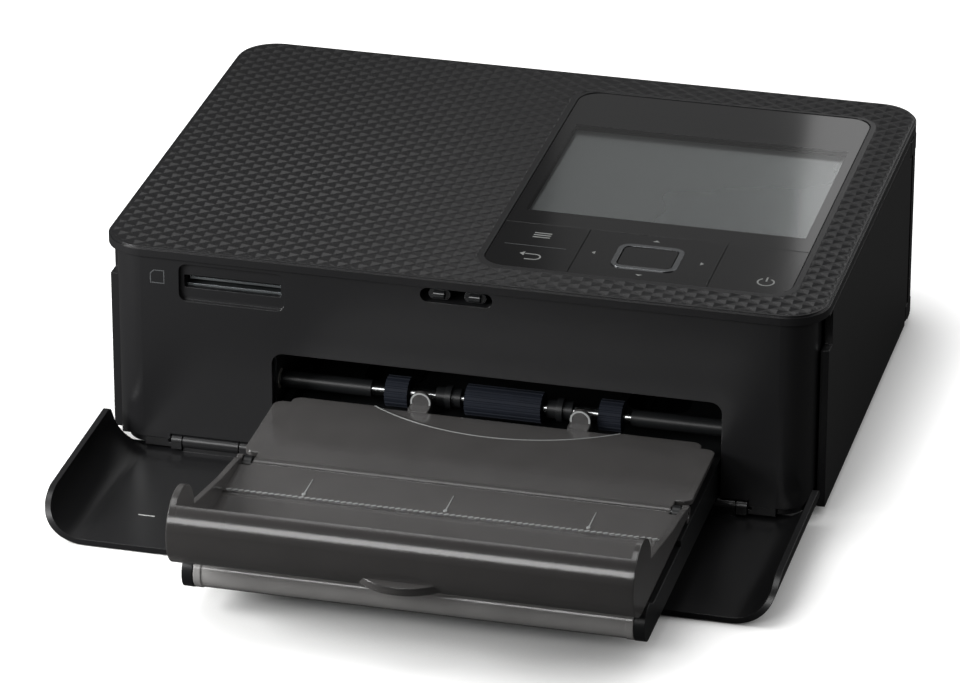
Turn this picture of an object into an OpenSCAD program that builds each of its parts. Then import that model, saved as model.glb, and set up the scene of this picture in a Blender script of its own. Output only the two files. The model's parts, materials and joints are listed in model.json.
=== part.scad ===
// Compact dye-sublimation photo printer with its paper cassette in place and
// the front flap folded down. Millimetres, +Z up, +X to the printer's right as
// seen from the front, +Y to its back. Every dimension below is measured from
// the middle of the width, the front edge of the top cover and the table; the
// finished model is shifted along Y so that its origin is the middle of its
// footprint.

/* [Housing] */
// Width of the housing
body_w = 182.2; // [178:0.1:190]
// Depth, from the front edge of the top cover to the back
body_d = 133; // [131:0.5:140]
// Height above the table
body_h = 57.6; // [57:0.1:60]
// Radius of the upright corners
corner_r = 10.5; // [9:0.5:12]
// Thickness of the outer panels
wall = 2; // [1.6:0.1:2.4]
// Height of the rubber feet, and the gap under the housing
foot_h = 2.6; // [2.4:0.1:3]
// Height of the band that the top cover shows all round
cover_band = 2.6; // [2.4:0.1:3]
// Seam between two panels
seam = 0.2; // [0.15:0.05:0.3]

/* [Front] */
// How far the front panel sits behind the top cover's edge
front_inset = 1; // [0.8:0.1:1.4]
// How far the front panel's sides sit inside the side panels
side_step = 2.6; // [2.4:0.1:3]
// Where the side panels start, behind the front edge
step_y = 9.6; // [9.6:0.1:11]
// Lower edge of the front panel above the table
panel_bottom = 5; // [4.8:0.1:5.4]
// Gap between the cassette and each side of its mouth
mouth_gap = 0.7; // [0.5:0.1:1.5]
// Top of the cassette mouth above the table
mouth_top = 32; // [30:0.5:34]
// Width of the card slot's recess
card_w = 27; // [26:0.5:30]
// Height of the card slot's recess
card_h = 10; // [8:0.5:11]
// Middle of the card slot, from the left side
card_in = 33.9; // [31:0.1:36]
// Middle of the card slot below the top cover
card_drop = 6.4; // [6:0.1:7]
// Width of the catch slot
catch_w = 18.2; // [17:0.1:20]
// Height of the catch slot
catch_h = 3.7; // [3.4:0.1:4]

/* [Front flap] */
// Thickness of the flap
flap_t = 1.5; // [1.4:0.1:1.6]
// Height of the open flap's wings above the table
wing_h = 11.5; // [11:0.1:11.6]
// How far the closed flap stays below the top cover's face
flap_short = 0.7; // [0.5:0.1:1.5]
// Height of the flap's hinge line above the table
flap_pivot_z = 4.3; // [4.2:0.1:4.4]
// Where the flap's hinge line is, behind the front edge
flap_pivot_y = 2.2; // [2:0.1:2.4]
// Radius of the flap's hinge pins
flap_pin_r = 0.9; // [0.7:0.1:1]

/* [Control panel] */
// Width of the control panel
panel_w = 77.4; // [76:0.1:79]
// Distance of the control panel from the right side
panel_in = 10.7; // [10:0.1:11]
// Front edge of the control panel
panel_y0 = 11.8; // [11.5:0.1:13]
// Distance of the control panel from the back
panel_back = 11.2; // [11:0.1:14]
// Line between the keys and the display glass
key_back_y = 37.9; // [37:0.1:38.5]
// Width of the menu and back key
menu_key_w = 22; // [20:0.5:23]
// Width of the arrow key
arrow_key_w = 34.8; // [34:0.1:36]
// Depth of the control panel below the cover's face
panel_sink = 0.2; // [0:0.1:0.3]
// Width of the visible screen
screen_w = 71.1; // [68:0.1:72]
// Depth of the visible screen, front to back
screen_d = 54.4; // [53:0.1:55]
// Front edge of the visible screen
screen_y0 = 45.8; // [45:0.1:46]

/* [Paper cassette] */
// Width of the cassette
tray_w = 112.4; // [111:0.1:112.6]
// Middle of the mouth and the cassette, right of centre
tray_x = 9.8; // [9:0.1:10]
// Underside of the cassette above the table
tray_z = 6.9; // [6.8:0.1:7.1]
// Reach of the cassette's nose in front of the housing
nose_reach = 75; // [73:0.5:77]
// Radius of the nose's round ends
nose_r = 4.6; // [4.4:0.1:4.8]
// How far the cassette goes into the housing
tray_in = 82; // [78:1:86]
// Thickness of the cassette's walls
tray_t = 1.6; // [1.4:0.1:1.8]
// Height of the lids' hinge line above the table
lid_z = 18.2; // [18:0.1:18.6]
// Distance of the lids' hinge line in front of the housing
lid_pivot = 32.2; // [31:0.1:33]
// Thickness of the clear lids
lid_t = 1.3; // [1.1:0.1:1.4]
// Radius of the print stop at the end of the outer lid
stop_r = 9.3; // [9:0.1:9.6]
// Reach of the print stop in front of the housing
stop_reach = 91.6; // [90:0.1:93]

/* [Print unit] */
// Radius of the pickup rollers
pickup_r = 4; // [3.8:0.1:4.1]
// Radius of the platen roller
platen_r = 6.3; // [6:0.1:6.4]
// Radius of the capstan
capstan_r = 2.5; // [2.2:0.1:2.6]
// Radius of the pinch roller
pinch_r = 1.7; // [1.5:0.1:1.8]
// Distance of the rollers' ends from the cassette's sides
roller_in = 3.7; // [3.2:0.1:4.5]
// Outer radius of the ink cassette's barrels
barrel_r = 11.3; // [11:0.1:11.4]
// Thickness of the steel chassis
steel = 1; // [0.8:0.1:1.2]
// Running clearance of a shaft in its bore
fit = 0.05; // [0.03:0.01:0.08]

/* [Gears] */
// Module of the feed train's teeth
feed_m = 0.6; // [0.6:0.1:0.6]
// Module of the ribbon train's teeth
ribbon_m = 0.8; // [0.8:0.1:0.8]
// Backlash on the pitch circle
backlash = 0.16; // [0.1:0.02:0.2]

/* [Hidden] */
$fn = 48;

// Places shared by several pieces
y_shift = (stop_reach - body_d) / 2;         // puts the origin under the middle
side_x = body_w / 2;                         // outer face of a side panel
cover_z = body_h - cover_band;               // underside of the top cover's band
floor_z = foot_h + 1.8;                      // top of the bottom case's floor
shell_x = side_x - side_step;                // outer face of the front panel's sides
shell_r = corner_r - side_step;
tuck = 3.4;                                  // front panel behind the side panels' edge
mouth_r = 3;
mouth_w = tray_w + 2 * mouth_gap;
tray_x0 = tray_x - tray_w / 2;
tray_x1 = tray_x + tray_w / 2;
play = 0.3;                                  // sliding clearance round the cassette
card_x = card_in - side_x;
card_z = cover_z - card_drop;
catch_z = cover_z - 0.6 - catch_h / 2;
catch_gap = 1.7;                             // half of the gap between the two catches
catch_l = 5.6;

// Flap: open it lies at flap_z0, closed its outer face is in front of the housing
flap_z0 = 0.3;
flap_end_y = flap_pivot_y + 2.3;             // back edge of the open flap's floor
flap_reach = body_h - flap_short - flap_pivot_z - flap_pivot_y;
knuckle_r = 1.8;
knuckle_in = 20.6;                           // hinge knuckles, from the sides
knuckle_w = 14.4;
knuckle_x = [[knuckle_in - side_x, knuckle_in - side_x + knuckle_w],
             [side_x - knuckle_in - knuckle_w, side_x - knuckle_in]];
ear_t = 3;                                   // ears of the bottom case at each side
ear_r = 1.8;
nest = 0.7;                                  // open flap's sides to the front panel

// Side door
door_pin_r = 0.8;
door_barrel_r = 1.7;
door_pivot = [side_x - door_barrel_r, body_d - 15];
door_gap = 0.3;
door_ear = 4.2;                              // height of the ears above and below
door_z0 = foot_h;
door_z1 = cover_z - seam;
notch_z = [cover_z - 10, cover_z - 0.6];     // finger notch at the side panels' front
notch_d = 4;

// Control panel
panel_x1 = side_x - panel_in;
panel_x0 = panel_x1 - panel_w;
panel_y1 = body_d - panel_back;
panel_r = 6;
panel_t = 1.5;                               // thickness of the glass and the keys
panel_top = body_h - panel_sink;
cover_t = 2;                                 // thickness of the top cover
key_gap = 0.2;
menu_x1 = panel_x0 + menu_key_w;
arrow_x1 = menu_x1 + arrow_key_w;
key_mid = [(menu_x1 + arrow_x1) / 2, (panel_y0 + key_back_y) / 2];
ok_w = 13.4;
ok_d = 10.8;
ring_t = 1.3;                                // width of the bright ring round OK
screen_x0 = (panel_x0 + panel_x1 - screen_w) / 2 + 0.4;
board_z = body_h - 7.4;                      // underside of the key board
key_stem = 1.2;

card_back = 24;                              // back of the card socket

// Print unit: each axis as [y, z]
pickup = [11.8, 19.9];
platen = [56, 25];
capstan = [68, 26.4];
pinch = [capstan[0], capstan[1] + capstan_r + pinch_r + 0.2];
plate_top = body_h - 7.6;                    // top of the chassis plates
train_span = 26.5;                           // pickup shaft to take-up spool
takeup_z = plate_top - 13;
takeup = [pickup[0] + sqrt(train_span * train_span - pow(takeup_z - pickup[1], 2)), takeup_z];
supply = [capstan[0] + barrel_r + pinch_r - 1, takeup_z];
head_pivot = [platen[0] + 8, plate_top - 3];
shaft_r = 1.5;
plate_l = tray_x0 - 1.6;                     // inner face of the left chassis plate
plate_r = tray_x1 + 2.4;                     // inner face of the right chassis plate
plate_y0 = 8;
plate_y1 = body_d - 13;
roll_x0 = tray_x0 + roller_in;
roll_x1 = tray_x1 - roller_in;

// Gear train: tooth counts, places and layers
capstan_n = 28;
idler_small_n = 14;
idler_large_n = 40;
feed_pinion_n = 14;
takeup_n = 20;
ribbon_idler_n = 16;
pickup_n = 18;
ribbon_pinion_n = 14;
layer_a = [plate_l - 7.5, plate_l - 3];      // gears next to the chassis plate
layer_b = [plate_l - 11.5, plate_l - 8];     // gears next to the bracket
bracket_x = plate_l - 14;                    // outer face of the gear bracket
function polar(p, r, a) = [p[0] + r * cos(a), p[1] + r * sin(a)];
function angle(p, q) = atan2(q[1] - p[1], q[0] - p[0]);
function mesh(m, a, b) = m * (a + b) / 2;    // centre distance of two gears
feed_idler_p = polar(capstan, mesh(feed_m, capstan_n, idler_small_n), 20);
feed_motor_p = polar(feed_idler_p, mesh(feed_m, idler_large_n, feed_pinion_n), 10);
ribbon_motor_p = polar(takeup, mesh(ribbon_m, takeup_n, ribbon_pinion_n), -25);
// the ribbon idler touches the takeup gear and the pickup gear
span = norm(pickup - takeup);
reach_t = mesh(ribbon_m, takeup_n, ribbon_idler_n);
reach_p = mesh(ribbon_m, pickup_n, ribbon_idler_n);
idler_turn = acos((span * span + reach_t * reach_t - reach_p * reach_p) / (2 * span * reach_t));
ribbon_idler_p = polar(takeup, reach_t, angle(takeup, pickup) - idler_turn);

// A gear b that meshes with gear a, whose tooth stands at phase_a: the angle of
// one of b's teeth so that a gap of b faces a tooth of a
function meshed(phase_a, na, a, nb, b) =
    angle(a, b) + 180 - 360 / nb * (0.5 - (angle(a, b) - phase_a) * na / 360);
idler_phase = meshed(0, capstan_n, capstan, idler_small_n, feed_idler_p);
feed_pinion_phase = meshed(idler_phase, idler_large_n, feed_idler_p, feed_pinion_n, feed_motor_p);
ribbon_idler_phase = meshed(0, takeup_n, takeup, ribbon_idler_n, ribbon_idler_p);
pickup_phase = meshed(ribbon_idler_phase, ribbon_idler_n, ribbon_idler_p, pickup_n, pickup);
ribbon_pinion_phase = meshed(0, takeup_n, takeup, ribbon_pinion_n, ribbon_motor_p);

// ---------------------------------------------------------------- helpers

module place() translate([0, y_shift, 0]) children();

module block(x, y, z) translate([x[0], y[0], z[0]]) cube([x[1] - x[0], y[1] - y[0], z[1] - z[0]]);

// Extrusions of an outline along Z, along Y (outline in x, z) and along X (in y, z)
module rise(z) translate([0, 0, z[0]]) linear_extrude(z[1] - z[0]) children();
module along_y(y) translate([0, y[1], 0]) rotate([90, 0, 0]) linear_extrude(y[1] - y[0]) children();
module along_x(x) translate([x[0], 0, 0]) rotate([90, 0, 90]) linear_extrude(x[1] - x[0]) children();

// Round bars: along X at [y, z], along Y at [x, z] and upright at [x, y]
module bar_x(x, p, r) along_x(x) translate(p) circle(r);
module bar_y(y, p, r) along_y(y) translate(p) circle(r);
module bar_z(z, p, r) rise(z) translate(p) circle(r);

module rounded(x, y, r) {
    translate([x[0] + r, y[0]]) square([x[1] - x[0] - 2 * r, y[1] - y[0]]);
    translate([x[0], y[0] + r]) square([x[1] - x[0], y[1] - y[0] - 2 * r]);
    for (cx = [x[0] + r, x[1] - r], cy = [y[0] + r, y[1] - r]) translate([cx, cy]) circle(r);
}

module region(x, y) translate([x[0], y[0]]) square([x[1] - x[0], y[1] - y[0]]);

// Plan outline of the housing, drawn in by an inset
module outline(inset = 0)
    rounded([-side_x + inset, side_x - inset], [inset, body_d - inset], corner_r - inset);
module skin() difference() {
    outline();
    outline(wall);
}

// Involute spur gear of n teeth and module m with a tooth at the given angle
function involute(rb, r) = let (t = sqrt(max(0, r * r / (rb * rb) - 1))) t * 180 / PI - atan(t);
function flank(m, n, r) =
    let (rb = m * n / 2 * cos(20))
    90 / n - backlash * 90 / (PI * m * n) + involute(rb, m * n / 2) - involute(rb, max(r, rb));
module gear_outline(m, n, phase) {
    rp = m * n / 2;
    root = rp - 1.1 * m;
    radii = [root, max(root, rp * cos(20)) + 0.05 * m, rp - 0.1 * m, rp + 0.4 * m, rp + 0.8 * m];
    polygon([for (i = [0:n - 1], s = [-1, 1], k = [0:4])
        let (r = s < 0 ? radii[k] : radii[4 - k], a = phase + i * 360 / n + s * flank(m, n, r))
        [r * cos(a), r * sin(a)]]);
}
module gear(x, p, m, n, phase, bore) difference() {
    along_x(x) translate(p) difference() {
        gear_outline(m, n, phase);
        circle(bore);
    }
    if (n > 20) for (i = [0:4]) {
        web = m * n / 2 - 1.1 * m;
        bar_x([x[0] - 1, x[1] + 1], polar(p, (web + bore + 1) / 2, i * 72 + 30), (web - bore) * 0.24);
    }
}

// ---------------------------------------------------------------- housing

screw_p = [for (x = [6.5 - side_x, side_x - 6.5], y = [16, body_d - 23]) [x, y]];
post_r = 3;
post_z = 14;
screw_r = 1;
board_x = [15 - side_x, plate_l - 3];
board_y = [14, body_d - 15];
board_post = [[board_x[0] + 3, board_y[0] + 10], [board_x[0] + 3, board_y[1] - 14], [board_x[1] - 5, board_y[1] - 14]];

module bottom_case() color("#161617") place() difference() {
    union() {
        rise([foot_h, floor_z]) intersection() {
            outline(wall + seam / 2);
            region([-side_x, side_x], [step_y - 3, body_d]);
        }
        rise([foot_h, floor_z]) intersection() {
            rounded([-shell_x + wall, shell_x - wall], [front_inset + wall, step_y + 20], shell_r - wall);
            region([-side_x, side_x], [0, step_y]);
        }
        // low wall that the side and rear panels clip round
        rise([foot_h, floor_z + 3.6]) intersection() {
            difference() {
                outline(wall + seam / 2);
                outline(wall + seam / 2 + 1.4);
            }
            region([-side_x, side_x], [step_y + tuck + 2, body_d]);
        }
        // sill below the mouth and the ears for the flap's pins
        block([-shell_x + 8, shell_x - 8], [front_inset + 0.4, front_inset + 5.6], [foot_h, panel_bottom - seam]);
        for (k = knuckle_x) along_x([k[0] - ear_t, k[1] + ear_t]) {
            translate([flap_pivot_y, flap_pivot_z]) circle(ear_r);
            region([flap_pivot_y - ear_r, flap_pivot_y + ear_r], [foot_h, flap_pivot_z]);
            region([flap_pivot_y, flap_pivot_y + ear_r + 2], [foot_h, floor_z]);
        }
        // runners for the cassette, and its side guides
        for (x = [tray_x0 + 12, tray_x, tray_x1 - 12])
            block([x - 1, x + 1], [front_inset + 2, tray_in + 20], [floor_z - 1, tray_z - play]);
        for (s = [-1, 1])
            block([tray_x + s * (tray_w / 2 + play + 0.6) - 0.6, tray_x + s * (tray_w / 2 + play + 0.6) + 0.6],
                  [plate_y0 + 1, tray_in + 20], [floor_z - 1, tray_z + 5]);
        // screw bosses and the main board's posts
        for (p = screw_p) bar_z([floor_z - 1, post_z - 0.2], p, post_r + 1);
        for (p = board_post) bar_z([floor_z - 1, floor_z + 2.6], p, 2.4);
    }
    for (k = knuckle_x) {
        block([k[0] - play, k[1] + play], [-1, flap_pivot_y + knuckle_r + 1.1], [0, panel_bottom + 3]);
        bar_x([k[0] - ear_t - 1, k[1] + ear_t + 1], [flap_pivot_y, flap_pivot_z], flap_pin_r);
    }
    for (p = screw_p) {
        bar_z([0, post_z], p, screw_r);
        bar_z([0, foot_h + 1.4], p, 2.6);
    }
    for (p = board_post) bar_z([floor_z, floor_z + 3], p, 0.9);
    rise([0, floor_z + 6]) door_hinge_room();
}

// Plan of the space that the door's hinge needs behind the side
module door_hinge_room() region([door_pivot[0] - door_barrel_r - play, side_x + 1],
                                [door_pivot[1] - door_barrel_r - play, door_pivot[1] + 6 + play]);

module rubber_feet() color("#202020") place()
    for (x = [19 - side_x, side_x - 19], y = [20, body_d - 16]) translate([x, y, 0]) rotate_extrude()
        polygon([[0, 0], [5.2, 0], [6, 0.8], [6, foot_h], [0, foot_h]]);

module front_panel() color("#1d1d1e") place() difference() {
    union() {
        rise([panel_bottom, cover_z - seam]) intersection() {
            difference() {
                rounded([-shell_x, shell_x], [front_inset, 60], shell_r);
                rounded([-shell_x + wall, shell_x - wall], [front_inset + wall, 60 - wall], shell_r - wall);
            }
            region([-side_x, side_x], [0, step_y + tuck]);
        }
        // tunnel behind the card slot, box of the catch, and stiffening ribs
        along_y([front_inset + wall - 0.4, front_inset + wall + 1.2])
            rounded([card_x - card_w / 2 - 0.8, card_x + card_w / 2 + 0.8], [card_z - card_h / 2 - 0.8, card_z + card_h / 2 + 0.4], 2);
        along_y([front_inset + wall - 0.4, front_inset + wall + 7])
            rounded([-catch_w / 2 - 1.2, catch_w / 2 + 1.2], [catch_z - catch_h / 2 - 1.2, cover_z - seam], 0.3);
        for (x = [card_x + card_w / 2 + 5, catch_w / 2 + 12, side_x - 15]) block([x - 0.6, x + 0.6],
            [front_inset + wall - 0.4, front_inset + wall + 2.4], [mouth_top + 1.5, cover_z - 1]);
    }
    along_y([-1, step_y + 20]) {
        rounded([tray_x - mouth_w / 2, tray_x + mouth_w / 2], [panel_bottom - 9, mouth_top], mouth_r);
        rounded([-catch_w / 2, catch_w / 2], [catch_z - catch_h / 2, catch_z + catch_h / 2], catch_h / 2 - 0.01);
        rounded([card_x - 12.4, card_x + 12.4], [card_z - 1.7, card_z + 1.7], 0.5);
    }
    along_y([-1, front_inset + 1.2])
        rounded([card_x - card_w / 2, card_x + card_w / 2], [card_z - card_h / 2, card_z + card_h / 2], 2);
    // room for the flap's knuckles and their ears, and the corners above its curved sides
    for (k = knuckle_x)
        block([k[0] - ear_t - play, k[1] + ear_t + play], [-1, wall + 5], [0, flap_pivot_z + knuckle_r + play]);
    along_y([-1, step_y + 20]) difference() {
        region([-side_x, side_x], [0, corner_r]);
        rounded([-side_x + flap_t + nest, side_x - flap_t - nest], [flap_z0 + flap_t + nest, 60], corner_r - flap_t - nest);
    }
}

// Middles of the posts that hold the display and the key board
panel_post = [for (x = [panel_x0 - 3.6, panel_x1 + 3.6], y = [panel_y0 + 12, key_back_y + 3, panel_y1 - 16]) [x, y]];

module top_cover() color("#1b1b1c") place() difference() {
    union() {
        difference() {
            union() {
                rise([cover_z, body_h - 0.5]) outline();
                rise([body_h - 0.51, body_h]) outline(0.5);
            }
            rise([cover_z - 1, body_h - cover_t]) outline(wall);
        }
        // lip inside the side and rear panels
        rise([cover_z - 2.4, body_h - cover_t + 0.1]) intersection() {
            difference() {
                outline(wall + seam);
                outline(wall + seam + 1.4);
            }
            region([-side_x, side_x], [step_y + tuck + 2, body_d]);
        }
        for (p = screw_p) bar_z([post_z, cover_z + 1], p, post_r);
        for (p = panel_post) bar_z([board_z + 1, cover_z + 1], p, 2);
    }
    rise([cover_z - 5, cover_z]) door_hinge_room();
    // the control panel: open below the keys and the screen, with a ledge for the glass
    rise([panel_top - panel_t, body_h + 1]) rounded([panel_x0, panel_x1], [panel_y0, panel_y1], panel_r);
    rise([cover_z - 1, body_h + 1]) intersection() {
        rounded([panel_x0, panel_x1], [panel_y0, panel_y1], panel_r);
        region([0, side_x], [panel_y0 - 1, key_back_y]);
    }
    rise([cover_z - 1, body_h + 1])
        rounded([screen_x0 - 1, screen_x0 + screen_w + 1], [screen_y0 - 1, screen_y0 + screen_d + 1], 1);
    for (p = screw_p) bar_z([0, post_z + 8], p, screw_r);
}

module left_side_panel() color("#1a1a1b") place() {
    difference() {
        union() {
            rise([foot_h, cover_z - seam]) intersection() {
                skin();
                region([-side_x - 1, -side_x + corner_r - seam], [step_y, body_d + 1]);
            }
            // clip ribs that reach over the bottom case's low wall
            for (y = [30, 66, 102])
                block([-side_x + wall - 0.2, -side_x + wall + 2.4], [y - 3, y + 3], [floor_z + 4, floor_z + 5.4]);
        }
        block([-side_x - 1, -side_x + wall + 1], [step_y - 1, step_y + notch_d], notch_z);
    }
}

vent_x = [13 - side_x, 39 - side_x];
inlet_p = [19 - side_x, floor_z + 9];
usb_p = [33 - side_x, floor_z + 6];
paper_slot_z = [22, 27];

module rear_panel() color("#1a1a1b") place() difference() {
    union() {
        rise([foot_h, cover_z - seam]) intersection() {
            skin();
            union() {
                region([-side_x + corner_r, side_x + 1], [body_d - wall - 0.5, body_d + 1]);
                region([side_x - corner_r - 0.5, side_x + 1], [door_pivot[1] + door_barrel_r + door_gap, body_d + 1]);
            }
        }
        // ears that carry the door's pin
        for (z = [door_z0 + 0.6, door_z1 - door_ear - 0.6]) rise([z, z + door_ear]) {
            translate(door_pivot) circle(door_barrel_r);
            region([door_pivot[0] - door_barrel_r, side_x], [door_pivot[1], door_pivot[1] + 6]);
        }
        // frame round the paper slot
        along_y([body_d - wall - 1.6, body_d - wall + 0.2])
            rounded([tray_x - 57, tray_x + 57], [paper_slot_z[0] - 2, paper_slot_z[1] + 2], 2);
    }
    bar_z([door_z0 + 0.3, door_z1 - 0.3], door_pivot, door_pin_r);
    along_y([body_d - wall - 4, body_d + 1]) {
        rounded([tray_x - 54.5, tray_x + 54.5], paper_slot_z, 1.5);
        for (z = [cover_z - 34:3.6:cover_z - 8]) rounded(vent_x, [z, z + 1.8], 0.89);
        translate(inlet_p) circle(3.9);
        rounded([usb_p[0] - 5, usb_p[0] + 5], [usb_p[1] - 2, usb_p[1] + 2], 1.9);
    }
    // clearance for the round edge of the door while it swings
    rise([door_z0 + 0.6 + door_ear, door_z1 - 0.6 - door_ear])
        translate(door_pivot) circle(door_barrel_r + door_gap);
}

module display_window() color("#0c0c0d") place() rise([panel_top - panel_t, panel_top]) intersection() {
    rounded([panel_x0 + key_gap, panel_x1 - key_gap], [panel_y0, panel_y1 - key_gap], panel_r - key_gap);
    region([0, side_x], [key_back_y + key_gap / 2, body_d]);
}

module lcd_module() color("#3c4043") place() difference() {
    union() {
        block([screen_x0 - 3, screen_x0 + screen_w + 2.4], [screen_y0 - 3, screen_y0 + screen_d + 3], [body_h - 6, cover_z - 0.1]);
        rise([cover_z - 0.2, panel_top - panel_t - 0.1])
            rounded([screen_x0 - 0.5, screen_x0 + screen_w + 0.5], [screen_y0 - 0.5, screen_y0 + screen_d + 0.5], 0.5);
        block([screen_x0 + 26, screen_x0 + 46], [screen_y0 + screen_d + 3 - 0.1, screen_y0 + screen_d + 8], [body_h - 6, body_h - 5.5]);
    }
    block([screen_x0, screen_x0 + screen_w], [screen_y0 + 4, screen_y0 + screen_d - 4], [body_h - 7, body_h - 5.2]);
}

module key_board() color("#1f5a3a") place() difference() {
    union() {
        block([panel_x0 - 5.4, panel_x1 + 5.2], [panel_y0 + 1.6, key_back_y + 4.8], [board_z, board_z + 1]);
        for (p = concat(key_stems(), [key_mid])) bar_z([board_z + 0.9, board_z + 1.4], p, 1.8);
    }
    for (p = panel_post) bar_z([board_z - 1, board_z + 2], p, 0.9);
    for (p = screw_p) bar_z([board_z - 1, board_z + 2], p, post_r + play);
}

// ---------------------------------------------------------------- keys

menu_mid = [(panel_x0 + menu_x1) / 2, key_mid[1]];
power_mid = [(arrow_x1 + panel_x1) / 2, key_mid[1]];
key_swing = [arrow_key_w / 2 - 4, (key_back_y - panel_y0) / 2 - 3.4];
function key_stems() = [[menu_mid[0], menu_mid[1] - key_swing[1]], [menu_mid[0], menu_mid[1] + key_swing[1]], power_mid];
stem_z = board_z + 2;                        // ends of the keys' stems, above the switches
key_t = 2.8;                                 // height of a key's cap
flange = [[panel_top - key_t, panel_top - key_t + 0.5], 0.8];

// A cap in the panel between two splits, and its flange below the cover over a span
module key_cap(x, held) {
    rise([panel_top - key_t, panel_top]) intersection() {
        rounded([panel_x0 + key_gap, panel_x1 - key_gap], [panel_y0 + key_gap, panel_y1], panel_r - key_gap);
        region([x[0] + key_gap / 2, x[1] - key_gap / 2], [0, key_back_y - key_gap / 2]);
    }
    rise(flange[0]) intersection() {
        rounded([panel_x0 - flange[1], panel_x1 + flange[1]], [panel_y0 - flange[1], panel_y1], panel_r);
        region([held[0], held[1]], [0, key_back_y + flange[1]]);
    }
}
module stem(p) bar_z([stem_z, panel_top - key_t + 0.1], p, key_stem);
ridge_r = 0.6;                               // round ridges that the keys rock on
pad_z = stem_z + 0.5;

module menu_key() color("#0f0f10") place() {
    key_cap([panel_x0, menu_x1], [0, menu_x1 - 3]);
    for (s = [-1, 1]) stem([menu_mid[0], menu_mid[1] + s * key_swing[1]]);
    bar_x([panel_x0 + 3, menu_x1 - 2], [menu_mid[1], panel_top - key_t], ridge_r);
}
module power_key() color("#0f0f10") place() {
    key_cap([arrow_x1, panel_x1], [arrow_x1 + 3, side_x]);
    stem(power_mid);
}
module ok_outline(grow) rounded([key_mid[0] - ok_w / 2 - grow, key_mid[0] + ok_w / 2 + grow],
                                [key_mid[1] - ok_d / 2 - grow, key_mid[1] + ok_d / 2 + grow], 1.4 + grow);
module arrow_pad() color("#54585a") place() difference() {
    union() {
        rise([stem_z + 0.3, stem_z + 1.2]) rounded([key_mid[0] - key_swing[0] - 2, key_mid[0] + key_swing[0] + 2],
            [key_mid[1] - key_swing[1] - 1, key_mid[1] + key_swing[1] + 1], 2);
        for (s = [-1, 1]) {
            bar_z([stem_z, panel_top - key_t - 0.3], [key_mid[0] + s * key_swing[0], key_mid[1]], 1.8);
            bar_z([stem_z, panel_top - key_t - ridge_r - 0.02], [key_mid[0], key_mid[1] + s * key_swing[1]], 1);
        }
        bar_x([key_mid[0] - key_swing[0], key_mid[0] + key_swing[0]], [key_mid[1], pad_z], ridge_r);
    }
    rise([stem_z - 1, body_h]) ok_outline(0.8);
}
module arrow_key() color("#0f0f10") place() difference() {
    key_cap([menu_x1, arrow_x1], [key_mid[0] - 8, key_mid[0] + 8]);
    bar_y([panel_y0 + 1.4, key_back_y - 1.4], [key_mid[0], panel_top - key_t], ridge_r);
    rise([0, body_h + 1]) ok_outline(ring_t + 0.3);
}
module ok_ring() color("#b9bcbf") place() rise([panel_top - key_t, panel_top + 0.2]) difference() {
    ok_outline(ring_t + 0.3);
    ok_outline(0.3);
}
module ok_button() color("#141415") place() {
    rise([panel_top - key_t, panel_top + 0.1]) ok_outline(0);
    stem(key_mid);
}

// ---------------------------------------------------------------- flap, catches, door

module flap_section() difference() {
    rounded([-side_x, side_x], [flap_z0, 40], corner_r);
    rounded([-side_x + flap_t, side_x - flap_t], [flap_z0 + flap_t, 60], corner_r - flap_t);
    region([-side_x - 1, side_x + 1], [wing_h, 60]);
}
// Side view of the flap: the wings end in a round sweep down to the tip
module flap_side() {
    sweep_r = wing_h - flap_z0 - flap_t;
    intersection() {
        union() {
            region([-flap_reach + sweep_r, flap_end_y], [flap_z0, wing_h]);
            region([-flap_reach, 0], [flap_z0, flap_z0 + flap_t]);
            translate([-flap_reach + sweep_r, wing_h - sweep_r]) circle(sweep_r, $fn = 96);
        }
        union() {
            region([-flap_reach, flap_end_y - 4.4], [flap_z0, wing_h]);
            region([-flap_reach, flap_end_y - 1.4], [flap_z0, wing_h - 3]);
            translate([flap_end_y - 4.4, wing_h - 3]) circle(3);
            region([-flap_reach, flap_end_y], [flap_z0, flap_z0 + flap_t]);
        }
    }
}
module front_flap() color("#1c1c1d") place() difference() {
    union() {
        intersection() {
            along_y([-flap_reach, flap_end_y]) flap_section();
            along_x([-side_x - 1, side_x + 1]) flap_side();
        }
        for (k = knuckle_x) {
            bar_x(k, [flap_pivot_y, flap_pivot_z], knuckle_r);
            block(k, [flap_pivot_y - 1.2, flap_pivot_y + 1.2], [flap_z0 + 0.2, flap_pivot_z]);
        }
        // hook that snaps between the two catches
        hook_y = flap_pivot_y - (catch_z - flap_pivot_z);
        block([-0.9, 0.9], [hook_y - 1, hook_y + 1], [flap_z0 + 0.5, flap_z0 + 4.1]);
        bar_y([hook_y - 1, hook_y + 1], [0, flap_z0 + 3.7], 1.1);
    }
    for (k = knuckle_x) bar_x([k[0] - 1, k[1] + 1], [flap_pivot_y, flap_pivot_z], flap_pin_r + fit);
}
module flap_pins() color("#b8b9ba") place()
    for (k = knuckle_x) bar_x([k[0] - ear_t, k[1] + ear_t], [flap_pivot_y, flap_pivot_z], flap_pin_r);

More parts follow.
